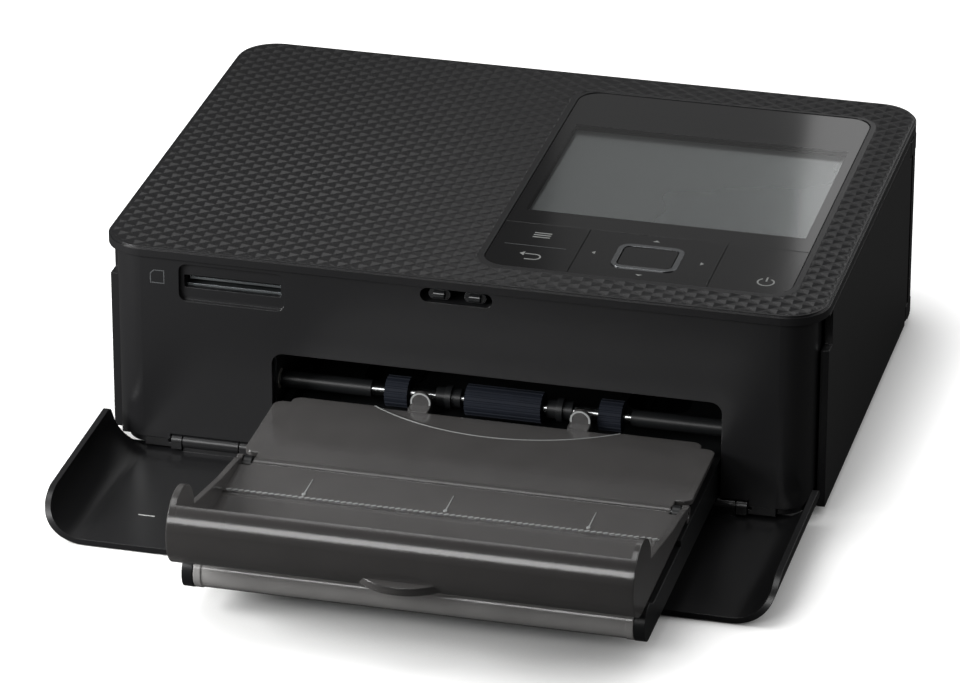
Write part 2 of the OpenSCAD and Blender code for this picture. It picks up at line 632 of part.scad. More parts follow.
// One sprung catch: a round nose in the slot on a leaf that goes back into its box
module catch(s) place() {
    nose = [s * (catch_gap + catch_l / 2), catch_z];
    along_y([front_inset + 1.2, front_inset + wall + 5])
        rounded([nose[0] - catch_l / 2, nose[0] + catch_l / 2], [nose[1] - 1.4, nose[1] + 1.4], 1.39);
    bar_x([nose[0] - catch_l / 2 + 1.4, nose[0] + catch_l / 2 - 1.4], [front_inset + 1.2, nose[1]], 1.1);
    // slide that runs in the box behind the slot
    block([nose[0] - catch_l / 2 + 0.6, nose[0] + catch_l / 2 - 0.6], [front_inset + wall + 1, front_inset + wall + 6.6],
          [nose[1] - catch_h / 2 + 0.08, nose[1] + catch_h / 2 - 0.08]);
}
module catch_left() color("#2c2d2f") catch(-1);
module catch_right() color("#2c2d2f") catch(1);

module ink_door() color("#1a1a1b") place() difference() {
    union() {
        rise([door_z0, door_z1]) intersection() {
            skin();
            region([side_x - corner_r, side_x + 1], [step_y, door_pivot[1]]);
        }
        bar_z([door_z0 + door_ear + 0.9, door_z1 - door_ear - 0.9], door_pivot, door_barrel_r);
        // frame ribs and the snap hook on the inside
        for (z = [post_z + 0.6, door_z1 - 10]) block([side_x - wall - 1, side_x - wall + 0.2], [step_y + tuck + 3, door_pivot[1] - 6], [z, z + 1.2]);
        block([side_x - wall - 2.2, side_x - wall + 0.2], [screw_p[0][1] + post_r + 0.5, screw_p[0][1] + post_r + 2.5], [26, 32]);
    }
    block([side_x - wall - 1, side_x + 1], [step_y - 1, step_y + notch_d], notch_z);
    bar_z([0, body_h], door_pivot, door_pin_r + fit);
    for (z = [[0, door_z0 + door_ear + 0.9], [door_z1 - door_ear - 0.9, body_h]])
        block([side_x - wall - 1, side_x + 1], [door_pivot[1] - door_barrel_r - door_gap, door_pivot[1] + 3], z);
}
module door_pin() color("#b8b9ba") place() bar_z([door_z0 + 0.6, door_z1 - 0.6], door_pivot, door_pin_r);

module case_screws() color("#9c9ea0") place() for (p = screw_p) {
    bar_z([foot_h + 0.2, foot_h + 1.4], p, 2.4);
    bar_z([foot_h + 1.3, post_z + 6], p, screw_r - 0.02);
}

// ---------------------------------------------------------------- print unit

bush_r = 2.6;                                // outside of a roller's bush
bush_at = [pickup, platen, capstan];

module window_right() {
    for (p = [takeup, supply]) translate(p) circle(barrel_r + 0.8);
    region([takeup[0], supply[0]], [takeup[1] - 4, takeup[1] + 6]);
}

module chassis_frame() color("#8f9395") place() {
    difference() {
        union() {
            along_x([plate_l - steel, plate_l]) {
                region([plate_y0, card_back + 2.1], [floor_z, card_z - 4]);
                region([card_back + 2, plate_y1], [floor_z, plate_top]);
            }
            along_x([plate_r, plate_r + steel]) region([plate_y0, plate_y1], [floor_z, plate_top]);
            // feet, front cross plate, back cross plate and rear tie
            block([plate_l - 8, plate_l - 0.1], [34, 60], [floor_z, floor_z + steel]);
            block([plate_r + 0.1, plate_r + 8], [34, 60], [floor_z, floor_z + steel]);
            block([plate_l - 0.1, plate_r + 0.1], [takeup[0] - barrel_r - 1.6 - steel, takeup[0] - barrel_r - 1.6], [pickup[1] + 7, card_z - 5]);
            block([plate_l - 0.1, plate_r + 0.1], [plate_y1 - steel, plate_y1], [floor_z, 19]);
            block([plate_l - 0.1, plate_r + 0.1], [plate_y1 - 22, plate_y1 - 12], [plate_top - steel, plate_top]);
        }
        for (p = bush_at) bar_x([plate_l - 9, plate_r + 9], p, bush_r);
        bar_x([plate_l - 9, plate_r + 9], pinch, 1 + fit);
        bar_x([plate_l - 9, plate_r + 9], head_pivot, shaft_r);
        bar_x([plate_l - 9, 0], takeup, 5);
        bar_x([plate_l - 9, 0], supply, 3);
        along_x([plate_r - 1, plate_r + 9]) window_right();
        // lightening holes
        bar_x([plate_l - 9, plate_r + 9], [plate_y1 - 10, plate_top - 18], 5);
    }
}

module roller_bushings() color("#e8e6df") place() for (p = bush_at, s = [-1, 1]) {
    x0 = s < 0 ? plate_l - steel : plate_r;
    difference() {
        union() {
            bar_x([x0, x0 + steel], p, bush_r);
            bar_x(s < 0 ? [plate_l - steel - 0.8, plate_l - steel] : [plate_r + steel, plate_r + steel + 0.8], p, bush_r + 0.8);
        }
        bar_x([x0 - 2, x0 + 3], p, shaft_r + fit);
    }
}

bracket_y = [6, plate_y1 - 8];
bracket_z = [13, card_z - 6.6, plate_top - 2];
standoff = [[plate_y0 + 2.4, bracket_z[1] - 2], [50, 16], [60, bracket_z[2] - 4], [bracket_y[1] - 4, 18], [bracket_y[1] - 4, bracket_z[2] - 4]];

module gear_bracket() color("#9b9fa1") place() difference() {
    union() {
        along_x([bracket_x, bracket_x + steel]) {
            region([bracket_y[0], card_back + 8.1], [bracket_z[0], bracket_z[1]]);
            region([card_back + 8, bracket_y[1]], [bracket_z[0], bracket_z[2]]);
        }
        for (p = standoff) bar_x([bracket_x + steel - 0.1, plate_l - steel], p, 1.8);
        // axles of the two idlers
        for (p = [feed_idler_p, ribbon_idler_p]) bar_x([bracket_x + steel - 0.1, plate_l - steel], p, 1);
    }
    bar_x([bracket_x - 1, bracket_x + 2], feed_motor_p, 3.2);
    bar_x([bracket_x - 1, bracket_x + 2], ribbon_motor_p, 3.2);
}

// The motors fill the bay between the bracket and the left side panel
bay = bracket_x + side_x - wall;
module motor(p, r, l) place() {
    bar_x([bracket_x - l, bracket_x], p, r);
    bar_x([bracket_x - l - 1.2, bracket_x - l + 0.1], p, 3);
    bar_x([bracket_x - 0.1, bracket_x + 1.6], p, 3);
    bar_x([bracket_x + 1.5, layer_b[0] - 0.2], p, 1);
}
module feed_motor() color("#a7aaac") motor(feed_motor_p, 10.5, bay - 5);
module ribbon_motor() color("#a7aaac") motor(ribbon_motor_p, 9.5, bay - 7);
module pinion(p, m, n, phase) place() {
    gear([layer_b[0], layer_a[1]], p, m, n, phase, 0.8);
    bar_x([layer_b[0], layer_a[1]], p, 0.9);
}
module feed_pinion() color("#d9d4c3") pinion(feed_motor_p, feed_m, feed_pinion_n, feed_pinion_phase);
module ribbon_pinion() color("#d9d4c3") pinion(ribbon_motor_p, ribbon_m, ribbon_pinion_n, ribbon_pinion_phase);
module feed_idler() color("#e9e7e0") place() {
    gear(layer_b, feed_idler_p, feed_m, idler_large_n, idler_phase, 1 + fit);
    gear([layer_b[1] - 0.1, layer_a[1]], feed_idler_p, feed_m, idler_small_n, idler_phase, 1 + fit);
}
module ribbon_idler() color("#e9e7e0") place()
    gear(layer_a, ribbon_idler_p, ribbon_m, ribbon_idler_n, ribbon_idler_phase, 1 + fit);

module pickup_shaft() color("#a9abad") place() bar_x([layer_a[0], plate_r + steel + 2], pickup, shaft_r);
small_roller_w = 5.8;
wide_roller_w = 19.4;
small_roller_off = 27.2;
module grooved_roller(x, r) along_x(x) translate(pickup) difference() {
    circle(r);
    circle(shaft_r);
    for (i = [0:17]) rotate(i * 20) translate([r, 0]) circle(0.32, $fn = 16);
}
module pickup_rollers() color("#39424f") place() {
    grooved_roller([tray_x - wide_roller_w / 2, tray_x + wide_roller_w / 2], pickup_r);
    for (s = [-1, 1]) grooved_roller([tray_x + s * small_roller_off - small_roller_w / 2, tray_x + s * small_roller_off + small_roller_w / 2], pickup_r);
}
collar_off = 14.2;
collar_w = 6.4;
sleeve_from = [34, 32.2];                     // sleeves that fill the shaft out to the plates
module pickup_collars() color("#1c1c1d") place() for (s = [-1, 1]) difference() {
    union() {
        bar_x([tray_x + s * collar_off - collar_w / 2, tray_x + s * collar_off + collar_w / 2], pickup, 2.4);
        bar_x([tray_x + s * collar_off - 0.8, tray_x + s * collar_off + 0.8], pickup, 3);
        bar_x(s < 0 ? [plate_l + 0.5, tray_x - sleeve_from[0]] : [tray_x + sleeve_from[1], plate_r - 0.5], pickup, 2.1);
    }
    bar_x([plate_l, plate_r], pickup, shaft_r);
}
module pickup_gear() color("#e9e7e0") place() gear(layer_a, pickup, ribbon_m, pickup_n, pickup_phase, shaft_r);

module platen_roller() color("#303234") place() difference() {
    bar_x([roll_x0, roll_x1], platen, platen_r);
    bar_x([roll_x0 - 1, roll_x1 + 1], platen, 3);
}
module platen_shaft() color("#a9abad") place() {
    bar_x([roll_x0, roll_x1], platen, 3);
    bar_x([plate_l - steel - 1.4, plate_r + steel + 1.4], platen, shaft_r);
}
module capstan_roller() color("#9fa2a4") place() {
    bar_x([roll_x0, roll_x1], capstan, capstan_r);
    bar_x([layer_a[0], plate_r + steel + 1.4], capstan, shaft_r);
}
module capstan_gear() color("#e9e7e0") place() gear(layer_a, capstan, feed_m, capstan_n, 0, shaft_r);
module pinch_roller() color("#55585a") place() {
    bar_x([roll_x0 + 2, roll_x1 - 2], pinch, pinch_r);
    bar_x([plate_l - steel - 1, plate_r + steel + 1], pinch, 1);
}

// Ink cassette: two barrels with a slot for the film, joined at their ends
case_x0 = plate_l + 0.6;
case_x1 = side_x - wall - 3;
module barrel_slot() {
    region([takeup[0] + 6, supply[0] - 6], [takeup[1] - 12, takeup[1] - 6]);
}
module ribbon_case() color("#2b2d30") place() {
    difference() {
        union() {
            for (p = [takeup, supply]) bar_x([case_x0, plate_r + steel + 4], p, barrel_r);
            along_x([case_x0, case_x0 + 1.6]) region([takeup[0], supply[0]], [takeup[1] - 1, takeup[1] + 3]);
            // grip block behind the door
            along_x([plate_r + steel + 1.4, case_x1]) difference() {
                union() {
                    for (p = [takeup, supply]) translate(p) circle(barrel_r);
                    region([takeup[0], supply[0]], [takeup[1] - 3, takeup[1] + 5]);
                }
                for (i = [-2:2]) translate([(takeup[0] + supply[0]) / 2 + i * 4, 0]) region([-0.6, 0.6], [takeup[1] + 4.2, takeup[1] + 6]);
            }
        }
        for (p = [takeup, supply]) {
            bar_x([case_x0 + 1.6, plate_r + steel + 3], p, barrel_r - 1.2);
            bar_x([case_x0 - 1, case_x0 + 3], p, 3 + fit);
            bar_x([plate_r + steel, plate_r + steel + 8], p, 1.5 + fit);
        }
        along_x([roll_x0, roll_x1]) barrel_slot();
    }
}
module spool(p, roll) {
    bar_x([case_x0 + 2, plate_r + steel + 2.6], p, 4);
    bar_x([plate_r + steel + 2.5, plate_r + steel + 7], p, 1.5);
    bar_x([roll_x0 - 1, roll_x1 + 1], p, roll);
    for (x = [roll_x0 - 2.2, roll_x1 + 1]) bar_x([x, x + 1.2], p, 9.4);
}
module supply_spool() color("#c9a24a") place() {
    spool(supply, 8.8);
    bar_x([case_x0 + 0.2, case_x0 + 2.1], supply, 3);
}
module takeup_spool() color("#7b3f68") place() {
    spool(takeup, 5.2);
    bar_x([case_x0 + 0.2, case_x0 + 2.1], takeup, 3);
}
module takeup_gear() color("#e9e7e0") place() {
    gear(layer_a, takeup, ribbon_m, takeup_n, 0, 0.8);
    // hub through the chassis plate, touching the spool's end
    bar_x([layer_a[0], case_x0 + 0.2], takeup, 2.2);
}

head_x = [roll_x0 - 0.5, roll_x1 + 0.5];
head_z = platen[1] + platen_r + 0.6;
module thermal_head() color("#d8cfb8") place() {
    block(head_x, [platen[0] - 3, platen[0] + 3], [head_z, head_z + 1.5]);
    bar_x(head_x, [platen[0], head_z + 0.4], 0.6);
}
module head_heat_sink() color("#c3c6c8") place() difference() {
    union() {
        block(head_x, [platen[0] - 8, platen[0] + 6], [head_z + 1.5, head_z + 4]);
        for (i = [0:4]) block(head_x, [platen[0] - 8 + i * 2.6, platen[0] - 7 + i * 2.6], [head_z + 3.9, plate_top - 5.5]);
        for (x = [[head_x[0], head_x[0] + 1.5], [head_x[1] - 1.5, head_x[1]]]) along_x(x) {
            translate(head_pivot) circle(3);
            polygon([[platen[0] - 2, head_z + 1.6], [platen[0] + 6, head_z + 1.6], [head_pivot[0] + 3, head_pivot[1] - 1],
                     [head_pivot[0] - 2, head_pivot[1] + 2]]);
        }
    }
    bar_x([head_x[0] - 1, head_x[1] + 1], head_pivot, shaft_r + fit);
}
module head_pivot_rod() color("#a9abad") place() bar_x([plate_l - steel - 1, plate_r + steel + 1], head_pivot, shaft_r);

// ---------------------------------------------------------------- electronics and fan

module main_board() color("#1f5a3a") place() difference() {
    union() {
        block(board_x, board_y, [floor_z + 2.6, floor_z + 4.2]);
        translate([board_x[0], board_y[0], floor_z]) {
            block([2, 14], [26, 38], [4.1, 5.4]);
            block([4, 12], [52, 60], [4.1, 5.2]);
            for (y = [70, 78]) bar_z([4.1, 7.4], [6, y], 3);
        }
        block([board_x[1] - 6, board_x[1] - 2], [board_y[0] + 8, board_y[0] + 30], [floor_z + 4.1, floor_z + 6.4]);
    }
    for (p = board_post) bar_z([0, 20], p, 0.9);
}
module power_inlet() color("#222325") place() {
    difference() {
        block([inlet_p[0] - 5, inlet_p[0] + 5], [body_d - wall - 12, body_d - wall - 0.1], [floor_z + 4.2, floor_z + 13.8]);
        bar_y([body_d - wall - 10, body_d + 1], inlet_p, 3.2);
    }
    bar_y([body_d - wall - 10.1, body_d - wall - 1], inlet_p, 0.85);
}
module usb_socket() color("#b5b7b9") place() difference() {
    along_y([body_d - wall - 8, body_d - 0.6]) rounded([usb_p[0] - 4.5, usb_p[0] + 4.5], [usb_p[1] - 1.7, usb_p[1] + 1.7], 1.69);
    along_y([body_d - wall - 7, body_d + 1]) difference() {
        rounded([usb_p[0] - 4.2, usb_p[0] + 4.2], [usb_p[1] - 1.4, usb_p[1] + 1.4], 1.39);
        rounded([usb_p[0] - 3.2, usb_p[0] + 3.2], [usb_p[1] - 0.35, usb_p[1] + 0.35], 0.3);
    }
}
module card_socket() color("#8a8d90") place() {
    front = front_inset + wall + 1.3;
    block([card_x - 15, card_x + 15], [front, card_back - 3], [card_z - 2.9, card_z - 1.9]);
    difference() {
        block([card_x - 13.4, card_x + 13.4], [front, card_back], [card_z - 2, card_z + 2.3]);
        block([card_x - 12.4, card_x + 12.4], [front - 1, card_back - 1.5], [card_z - 1.4, card_z + 1.6]);
    }
    // contact rib that shows in the slot
    block([card_x - 11.5, card_x + 12.6], [front, card_back - 8], [card_z - 0.2, card_z + 0.4]);
}
fan_c = [26 - side_x, cover_z - 20];
module fan_housing() color("#1d1e20") place() difference() {
    along_y([body_d - wall - 10, body_d - wall - 0.2]) rounded([fan_c[0] - 15, fan_c[0] + 15], [fan_c[1] - 15, fan_c[1] + 15], 3);
    bar_y([body_d - wall - 8.4, body_d], fan_c, 13.6);
    difference() {
        bar_y([body_d - wall - 11, body_d], fan_c, 13);
        bar_y([body_d - wall - 12, body_d + 1], fan_c, 5);
        for (a = [0, 90]) translate([fan_c[0], 0, fan_c[1]]) rotate([0, a + 45, 0])
            block([-14, 14], [body_d - wall - 12, body_d], [-1, 1]);
    }
    bar_y([body_d - wall - 8.4, body_d], fan_c, 5.6);
}
module fan_rotor() color("#2a2b2d") place() translate([fan_c[0], body_d - wall - 7.8, fan_c[1]]) {
    rotate([-90, 0, 0]) {
        cylinder(h = 6, r = 5.2);
        for (i = [0:6]) rotate(i * 360 / 7) translate([4.6, 0, 3]) rotate([38, 0, 0])
            translate([0, -0.5, -3.2]) cube([8.1, 1, 6.4]);
    }
}

// ---------------------------------------------------------------- paper cassette

nose = [-nose_reach, tray_z + nose_r];
tray_top = lid_z - 2.6;
hinge = [-lid_pivot, lid_z];
lid_pin_r = 0.8;
lift_p = [-nose_reach + 11, tray_z + 5.8];
post_in = 1.9;                               // hinge posts, from the cassette's side
post_t = 2;

module tray_side() {
    region([nose[0], tray_in], [tray_z, tray_top - 1.6]);
    region([-nose_reach + 34, tray_in], [tray_z, tray_top]);
    translate(nose) circle(nose_r);
}
module cassette_tray() color("#17181a") place() difference() {
    union() {
        for (x = [[tray_x0, tray_x0 + tray_t], [tray_x1 - tray_t, tray_x1]]) along_x(x) tray_side();
        block([tray_x0, tray_x1], [nose[0] + 3, tray_in], [tray_z, tray_z + 1.4]);
        block([tray_x0, tray_x1], [nose[0] + 3, nose[0] + 4.6], [tray_z, tray_z + 7.6]);
        block([tray_x0, tray_x1], [tray_in - tray_t, tray_in], [tray_z, tray_z + 8]);
        // round end caps of the nose and the core between them
        for (s = [-1, 1]) bar_x(s < 0 ? [tray_x0, tray_x0 + 2.6] : [tray_x1 - 2.6, tray_x1], nose, nose_r);
        bar_x([tray_x0 + 2.5, tray_x1 - 2.5], nose, 2.2);
        block([tray_x0 + 2, tray_x1 - 2], [nose[0], nose[0] + 3.2], [nose[1] - 2.2, nose[1] + 1]);
        // hinge posts of the lids
        for (s = [-1, 1]) {
            xa = tray_x + s * (tray_w / 2 - post_in - post_t / 2);
            along_x([xa - post_t / 2, xa + post_t / 2]) {
                translate(hinge) circle(2);
                region([hinge[0] - 2, hinge[0] + 2], [tray_z + 1, hinge[1]]);
            }
        }
        for (x = [tray_x - 30, tray_x + 30]) block([x - 0.6, x + 0.6], [-nose_reach + 6, tray_in - 1], [tray_z + 1.3, tray_z + 2]);
    }
    bar_x([tray_x0 + 0.6, tray_x1 - 0.6], lift_p, 0.8 + fit);
    bar_x([tray_x0 - 1, tray_x1 + 1], hinge, lid_pin_r);
}
module nose_bar() color([0.62, 0.65, 0.68, 0.45]) place() difference() {
    union() {
        bar_x([tray_x0 + 3.4, tray_x1 - 3.4], nose, nose_r - 0.3);
        for (s = [-1, 1]) bar_x(s < 0 ? [tray_x0 + 2.8, tray_x0 + 4.6] : [tray_x1 - 4.6, tray_x1 - 2.8], nose, nose_r - 0.1);
    }
    bar_x([tray_x0, tray_x1], nose, 2.9);
    block([tray_x0, tray_x1], [nose[0] + 1.2, nose[0] + 8], [0, 40]);
    block([tray_x0, tray_x1], [nose[0] - 1, nose[0] + 8], [0, nose[1]]);
}
module lid_pins() color("#b8b9ba") place() for (s = [-1, 1])
    bar_x(s < 0 ? [tray_x0 + 0.3, tray_x0 + 9] : [tray_x1 - 9, tray_x1 - 0.3], hinge, lid_pin_r);

lift_x = [tray_x0 + tray_t + 1, tray_x1 - tray_t - 1];
lift_y = [lift_p[0], tray_in - 6];
lift_t = 0.8;
module lift_plate() color("#a4a7a9") place() difference() {
    union() {
        block(lift_x, lift_y, [lift_p[1] - lift_t / 2, lift_p[1] + lift_t / 2]);
        bar_x([tray_x0 + 0.9, tray_x1 - 0.9], lift_p, 0.8);
        // turned-down edge at each side
        for (x = [lift_x[0], lift_x[1] - 0.8]) block([x, x + 0.8], [lift_y[0] + 40, lift_y[1] - 10], [lift_p[1] - 1.2, lift_p[1]]);
    }
    for (x = [tray_x - 34, tray_x + 34]) rise([0, 40]) rounded([x - 8, x + 8], [30, 62], 4);
    for (s = [-1, 1]) block([tray_x + s * (tray_w / 2 - 4) - 2.6, tray_x + s * (tray_w / 2 - 4) + 2.6],
                            [hinge[0] - 3, hinge[0] + 3], [0, 40]);
}
// Coil springs under the lift plate: the wire's section carried round a helix
spring_r = 3.4;
spring_wire = 0.4;
spring_turns = 4;
spring_z = [tray_z + 1.4, lift_p[1] - lift_t / 2];
function ring_point(a, z, b) = [(spring_r + spring_wire * cos(b)) * cos(a), (spring_r + spring_wire * cos(b)) * sin(a), z + spring_wire * sin(b)];
module coil() {
    steps = spring_turns * 12;
    lift = spring_z[1] - spring_z[0] - 2 * spring_wire;
    points = [for (i = [0:steps], j = [0:5]) ring_point(i * 30, spring_z[0] + spring_wire + lift * i / steps, j * 60)];
    polyhedron(points, concat(
        [[for (j = [5:-1:0]) j]], [[for (j = [0:5]) steps * 6 + j]],
        [for (i = [0:steps - 1], j = [0:5]) let (k = (j + 1) % 6) [i * 6 + j, i * 6 + k, (i + 1) * 6 + k, (i + 1) * 6 + j]]));
}
module lift_springs() color("#c8cacc") place() for (s = [-1, 1]) translate([tray_x + s * 22, pickup[0], 0]) coil();

plate_top_z = lid_z + lid_t;
scallop_r = 54;
scallop_d = 10;
inner_x = [tray_x0 + post_in + post_t + 0.4, tray_x1 - post_in - post_t - 0.4];
inner_back = 3.4;
tab_off = 20.3;
module inner_lid() color([0.5, 0.53, 0.56, 0.5]) place() difference() {
    union() {
        rise([lid_z, plate_top_z]) {
            region(inner_x, [hinge[0], inner_back - 6]);
            rounded(inner_x, [hinge[0] + 8, inner_back], 2.4);
            rounded([tray_x0 + 0.4, tray_x1 - 0.4], [hinge[0] + 4, inner_back - 3], 2.4);
        }
        bar_x(inner_x, hinge, 1.6);
        // side skirts and the two round-topped tabs between the pickup rollers
        for (x = [tray_x0 + 2, tray_x1 - 3]) block([x, x + 1], [hinge[0] + 5, inner_back - 6], [tray_top + 0.4, lid_z + 0.1]);
        for (s = [-1, 1]) {
            block([tray_x + s * tab_off - 2.6, tray_x + s * tab_off + 2.6], [inner_back - 1, inner_back + 4], [lid_z, plate_top_z]);
            along_y([inner_back + 2.8, inner_back + 4]) translate([tray_x + s * tab_off, plate_top_z + 0.9]) circle(2.6);
        }
    }
    bar_x([tray_x0, tray_x1], hinge, lid_pin_r + fit);
    // shallow finger recess at the back edge
    rise([plate_top_z - 0.5, plate_top_z + 1]) intersection() {
        translate([tray_x, inner_back + scallop_r - scallop_d]) circle(scallop_r, $fn = 96);
        region([tray_x0, tray_x1], [hinge[0], inner_back + 0.1]);
    }
}

// Outer lid: floor, side walls that rise to the round print stop
stop_c = [-stop_reach + stop_r, lid_z + stop_r - 0.6];
stop_back = stop_c[0] + 8.9;
step_front = -lid_pivot - 17.5;
floor_low = [stop_c[1] - stop_r, stop_c[1] - stop_r + lid_t];
module lid_wall() {
    polygon([[hinge[0] - 1.6, floor_low[0] + 0.4], [hinge[0], lid_z - 1.8], [hinge[0] + 1.4, lid_z + 1.4],
             [hinge[0] - 3, lid_z + 2.6], [hinge[0] - 8.4, lid_z + 3.4], [hinge[0] - 18.2, lid_z + 4.7],
             [hinge[0] - 30.3, lid_z + 7.1], [stop_back, stop_c[1] + 0.6], [stop_back, floor_low[0]]]);
    translate(hinge) circle(2.2);
    region([stop_c[0], stop_back], [floor_low[0], stop_c[1]]);
    difference() {
        translate(stop_c) circle(stop_r, $fn = 96);
        region([stop_back, 0], [0, 60]);
    }
}
module stop_section() difference() {
    translate(stop_c) circle(stop_r, $fn = 96);
    translate(stop_c) circle(stop_r - lid_t, $fn = 96);
    region([stop_c[0], 0], [0, 60]);
    translate(stop_c) rotate(-54) translate([-40, 0]) square([80, 40]);
}
module outer_lid() color([0.55, 0.58, 0.61, 0.5]) place() difference() {
    union() {
        for (x = [[tray_x0 + 0.1, tray_x0 + 1.6], [tray_x1 - 1.6, tray_x1 - 0.1]]) along_x(x) lid_wall();
        along_x([tray_x0 + 1.5, tray_x1 - 1.5]) {
            region([stop_c[0] - 0.1, step_front + 0.2], floor_low);
            region([step_front, hinge[0] - 2.3], [lid_z + 0.1, lid_z + 0.1 + lid_t]);
            stop_section();
        }
        // ribs inside the print stop
        for (x = [tray_x - 42.8, tray_x + 37.1, tray_x + 44.3]) along_x([x - 0.5, x + 0.5]) difference() {
            translate(stop_c) circle(stop_r - 0.3, $fn = 96);
            translate(stop_c) circle(stop_r - lid_t - 1.2, $fn = 96);
            translate(stop_c) for (a = [-52, 187]) rotate(a) translate([-40, 0]) square([80, 40]);
        }
    }
    bar_x([tray_x0 - 1, tray_x1 + 1], hinge, lid_pin_r + fit);
    // room for the cassette's hinge posts
    for (s = [-1, 1]) block([tray_x + s * (tray_w / 2 - post_in - post_t / 2) - 1.3, tray_x + s * (tray_w / 2 - post_in - post_t / 2) + 1.3],
                            [hinge[0] - 3.4, hinge[0] + 3], [0, 60]);
}

bottom_case();
rubber_feet();
front_panel();
top_cover();
left_side_panel();
rear_panel();
display_window();
lcd_module();
key_board();
chassis_frame();
gear_bracket();
roller_bushings();
ribbon_case();
fan_housing();
main_board();
power_inlet();
usb_socket();
card_socket();
head_pivot_rod();
feed_motor();
ribbon_motor();
door_pin();
flap_pins();
case_screws();
front_flap();
catch_left();
catch_right();
ink_door();
menu_key();
arrow_pad();
arrow_key();
ok_ring();
ok_button();
power_key();
pickup_shaft();
pickup_rollers();
pickup_collars();
pickup_gear();
platen_roller();
platen_shaft();
capstan_roller();
capstan_gear();
pinch_roller();
feed_idler();
feed_pinion();
ribbon_idler();
ribbon_pinion();
takeup_spool();
takeup_gear();
supply_spool();
thermal_head();
head_heat_sink();
fan_rotor();
cassette_tray();
nose_bar();
lid_pins();
lift_plate();
lift_springs();
inner_lid();
outer_lid();
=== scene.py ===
"""Looks of a compact photo printer, laid out as a Blender add-on and run as a script.

Everything is in the frame of the packed part: metres, +Z up, the front towards -Y.
"""

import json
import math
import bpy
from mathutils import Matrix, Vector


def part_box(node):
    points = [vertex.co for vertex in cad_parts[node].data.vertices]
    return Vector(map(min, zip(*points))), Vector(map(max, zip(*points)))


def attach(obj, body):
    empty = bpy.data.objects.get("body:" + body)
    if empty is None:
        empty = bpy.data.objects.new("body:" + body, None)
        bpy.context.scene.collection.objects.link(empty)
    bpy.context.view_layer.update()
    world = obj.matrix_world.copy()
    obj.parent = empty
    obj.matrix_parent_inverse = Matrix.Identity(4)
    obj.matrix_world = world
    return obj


bl_info = {
    "name": "Compact Photo Printer Finish",
    "version": (1, 0, 0),
    "blender": (4, 5, 0),
    "location": "3D View > Sidebar > Printer",
    "description": "Finishes, knurled cover, key symbols, lid details and studio of a compact photo printer",
    "category": "Object",
}

import bpy
import numpy as np
from bpy.props import FloatProperty, FloatVectorProperty, IntProperty, PointerProperty
from mathutils import Matrix, Vector

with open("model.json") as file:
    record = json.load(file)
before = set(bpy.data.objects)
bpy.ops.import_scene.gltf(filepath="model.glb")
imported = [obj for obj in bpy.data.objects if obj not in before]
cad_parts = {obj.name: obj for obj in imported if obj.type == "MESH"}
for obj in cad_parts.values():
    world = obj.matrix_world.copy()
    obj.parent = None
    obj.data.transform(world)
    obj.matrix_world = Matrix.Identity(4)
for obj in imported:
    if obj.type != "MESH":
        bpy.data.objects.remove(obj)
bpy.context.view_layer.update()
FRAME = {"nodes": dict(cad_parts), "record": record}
MM = 0.001
PREFIX = "printer."


# ------------------------------------------------------------------ places


def span(node):
    """Lowest and highest corner of a CAD node, in millimetres."""
    low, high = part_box(node)
    return np.array(low) / MM, np.array(high) / MM


COVER = span("top_cover")
FRONT_Y = COVER[0][1]  # front edge of the top cover, from which depths are counted
TOP_Z = COVER[1][2]
PANEL_X = (span("menu_key")[0][0], span("power_key")[1][0])
PANEL_Y = (span("menu_key")[0][1], span("display_window")[1][1])
KEY_Z = span("power_key")[1][2]
LID = span("outer_lid")
LID_MID = (LID[0][0] + LID[1][0]) / 2
LIFT = 0.005  # how far prints and rims stand off the surface under them
COVER_R = 10.5  # round corners of the top cover
PANEL_R = 6  # round corners of the control panel
KNURL_FADE = 0.35  # width over which the knurl dies out at its rims
LID_TOP = 19.6  # upper face of the outer lid's platform
INNER_BACK = 3.4  # back edge of the inner lid, as a depth
SCALLOP = (54.0, 10.0)  # radius and depth of the finger recess in that edge
TAB_OFF, TAB_RISE, TAB_R = 20.3, 3.5, 2.6  # the two tabs: offset from the middle, height over the lid, radius
CAMERA_AT = (0.32746, -1.28494, 0.67077)  # metres
CAMERA_TURN = (14.2548, 25.7354, 0.049)  # azimuth, elevation and roll, in degrees


def deep(y):
    """A depth behind the front edge of the top cover as a Y coordinate, in millimetres."""
    return FRONT_Y + y


# ------------------------------------------------------------------ settings


def length(name, text, value, low=0.0):
    """A size in metres that the sidebar shows as a length; value and low are millimetres."""
    return FloatProperty(name=name, description=text, default=value * MM, min=low * MM,
                         precision=5, subtype="DISTANCE", unit="LENGTH")


def hex_linear(code):
    """Linear red, green and blue of an sRGB hex colour."""
    c = np.array([int(code[i : i + 2], 16) for i in (1, 3, 5)]) / 255
    c = np.where(c <= 0.04045, c / 12.92, ((c + 0.055) / 1.055) ** 2.4)
    return tuple(float(v) for v in c)


def tint(name, text, code):
    """A colour that the sidebar shows as a swatch, from an sRGB hex value."""
    return FloatVectorProperty(name=name, description=text, default=hex_linear(code),
                               size=3, min=0, max=1, subtype="COLOR")


def power(name, text, value):
    """A lamp's power in watts."""
    return FloatProperty(name=name, description=text, default=value, min=0, unit="POWER")


class PRINTER_PG_cover(bpy.types.PropertyGroup):
    """Knurl of the top cover."""

    pitch_x: length("Pitch across", "Distance between two studs in one row", 5.22, 1)
    pitch_y: length("Pitch in depth", "Distance between two rows of the same phase", 4.28, 1)
    height: length("Height", "Height of a stud over the cover", 0.3)
    rim: length("Rim", "Smooth margin along the cover's outer edge", 0.95)
    panel_rim: length("Panel rim", "Smooth margin round the control panel", 0.7)
    steps: IntProperty(name="Steps", description="Facets along half a stud", default=4, min=1, max=8)


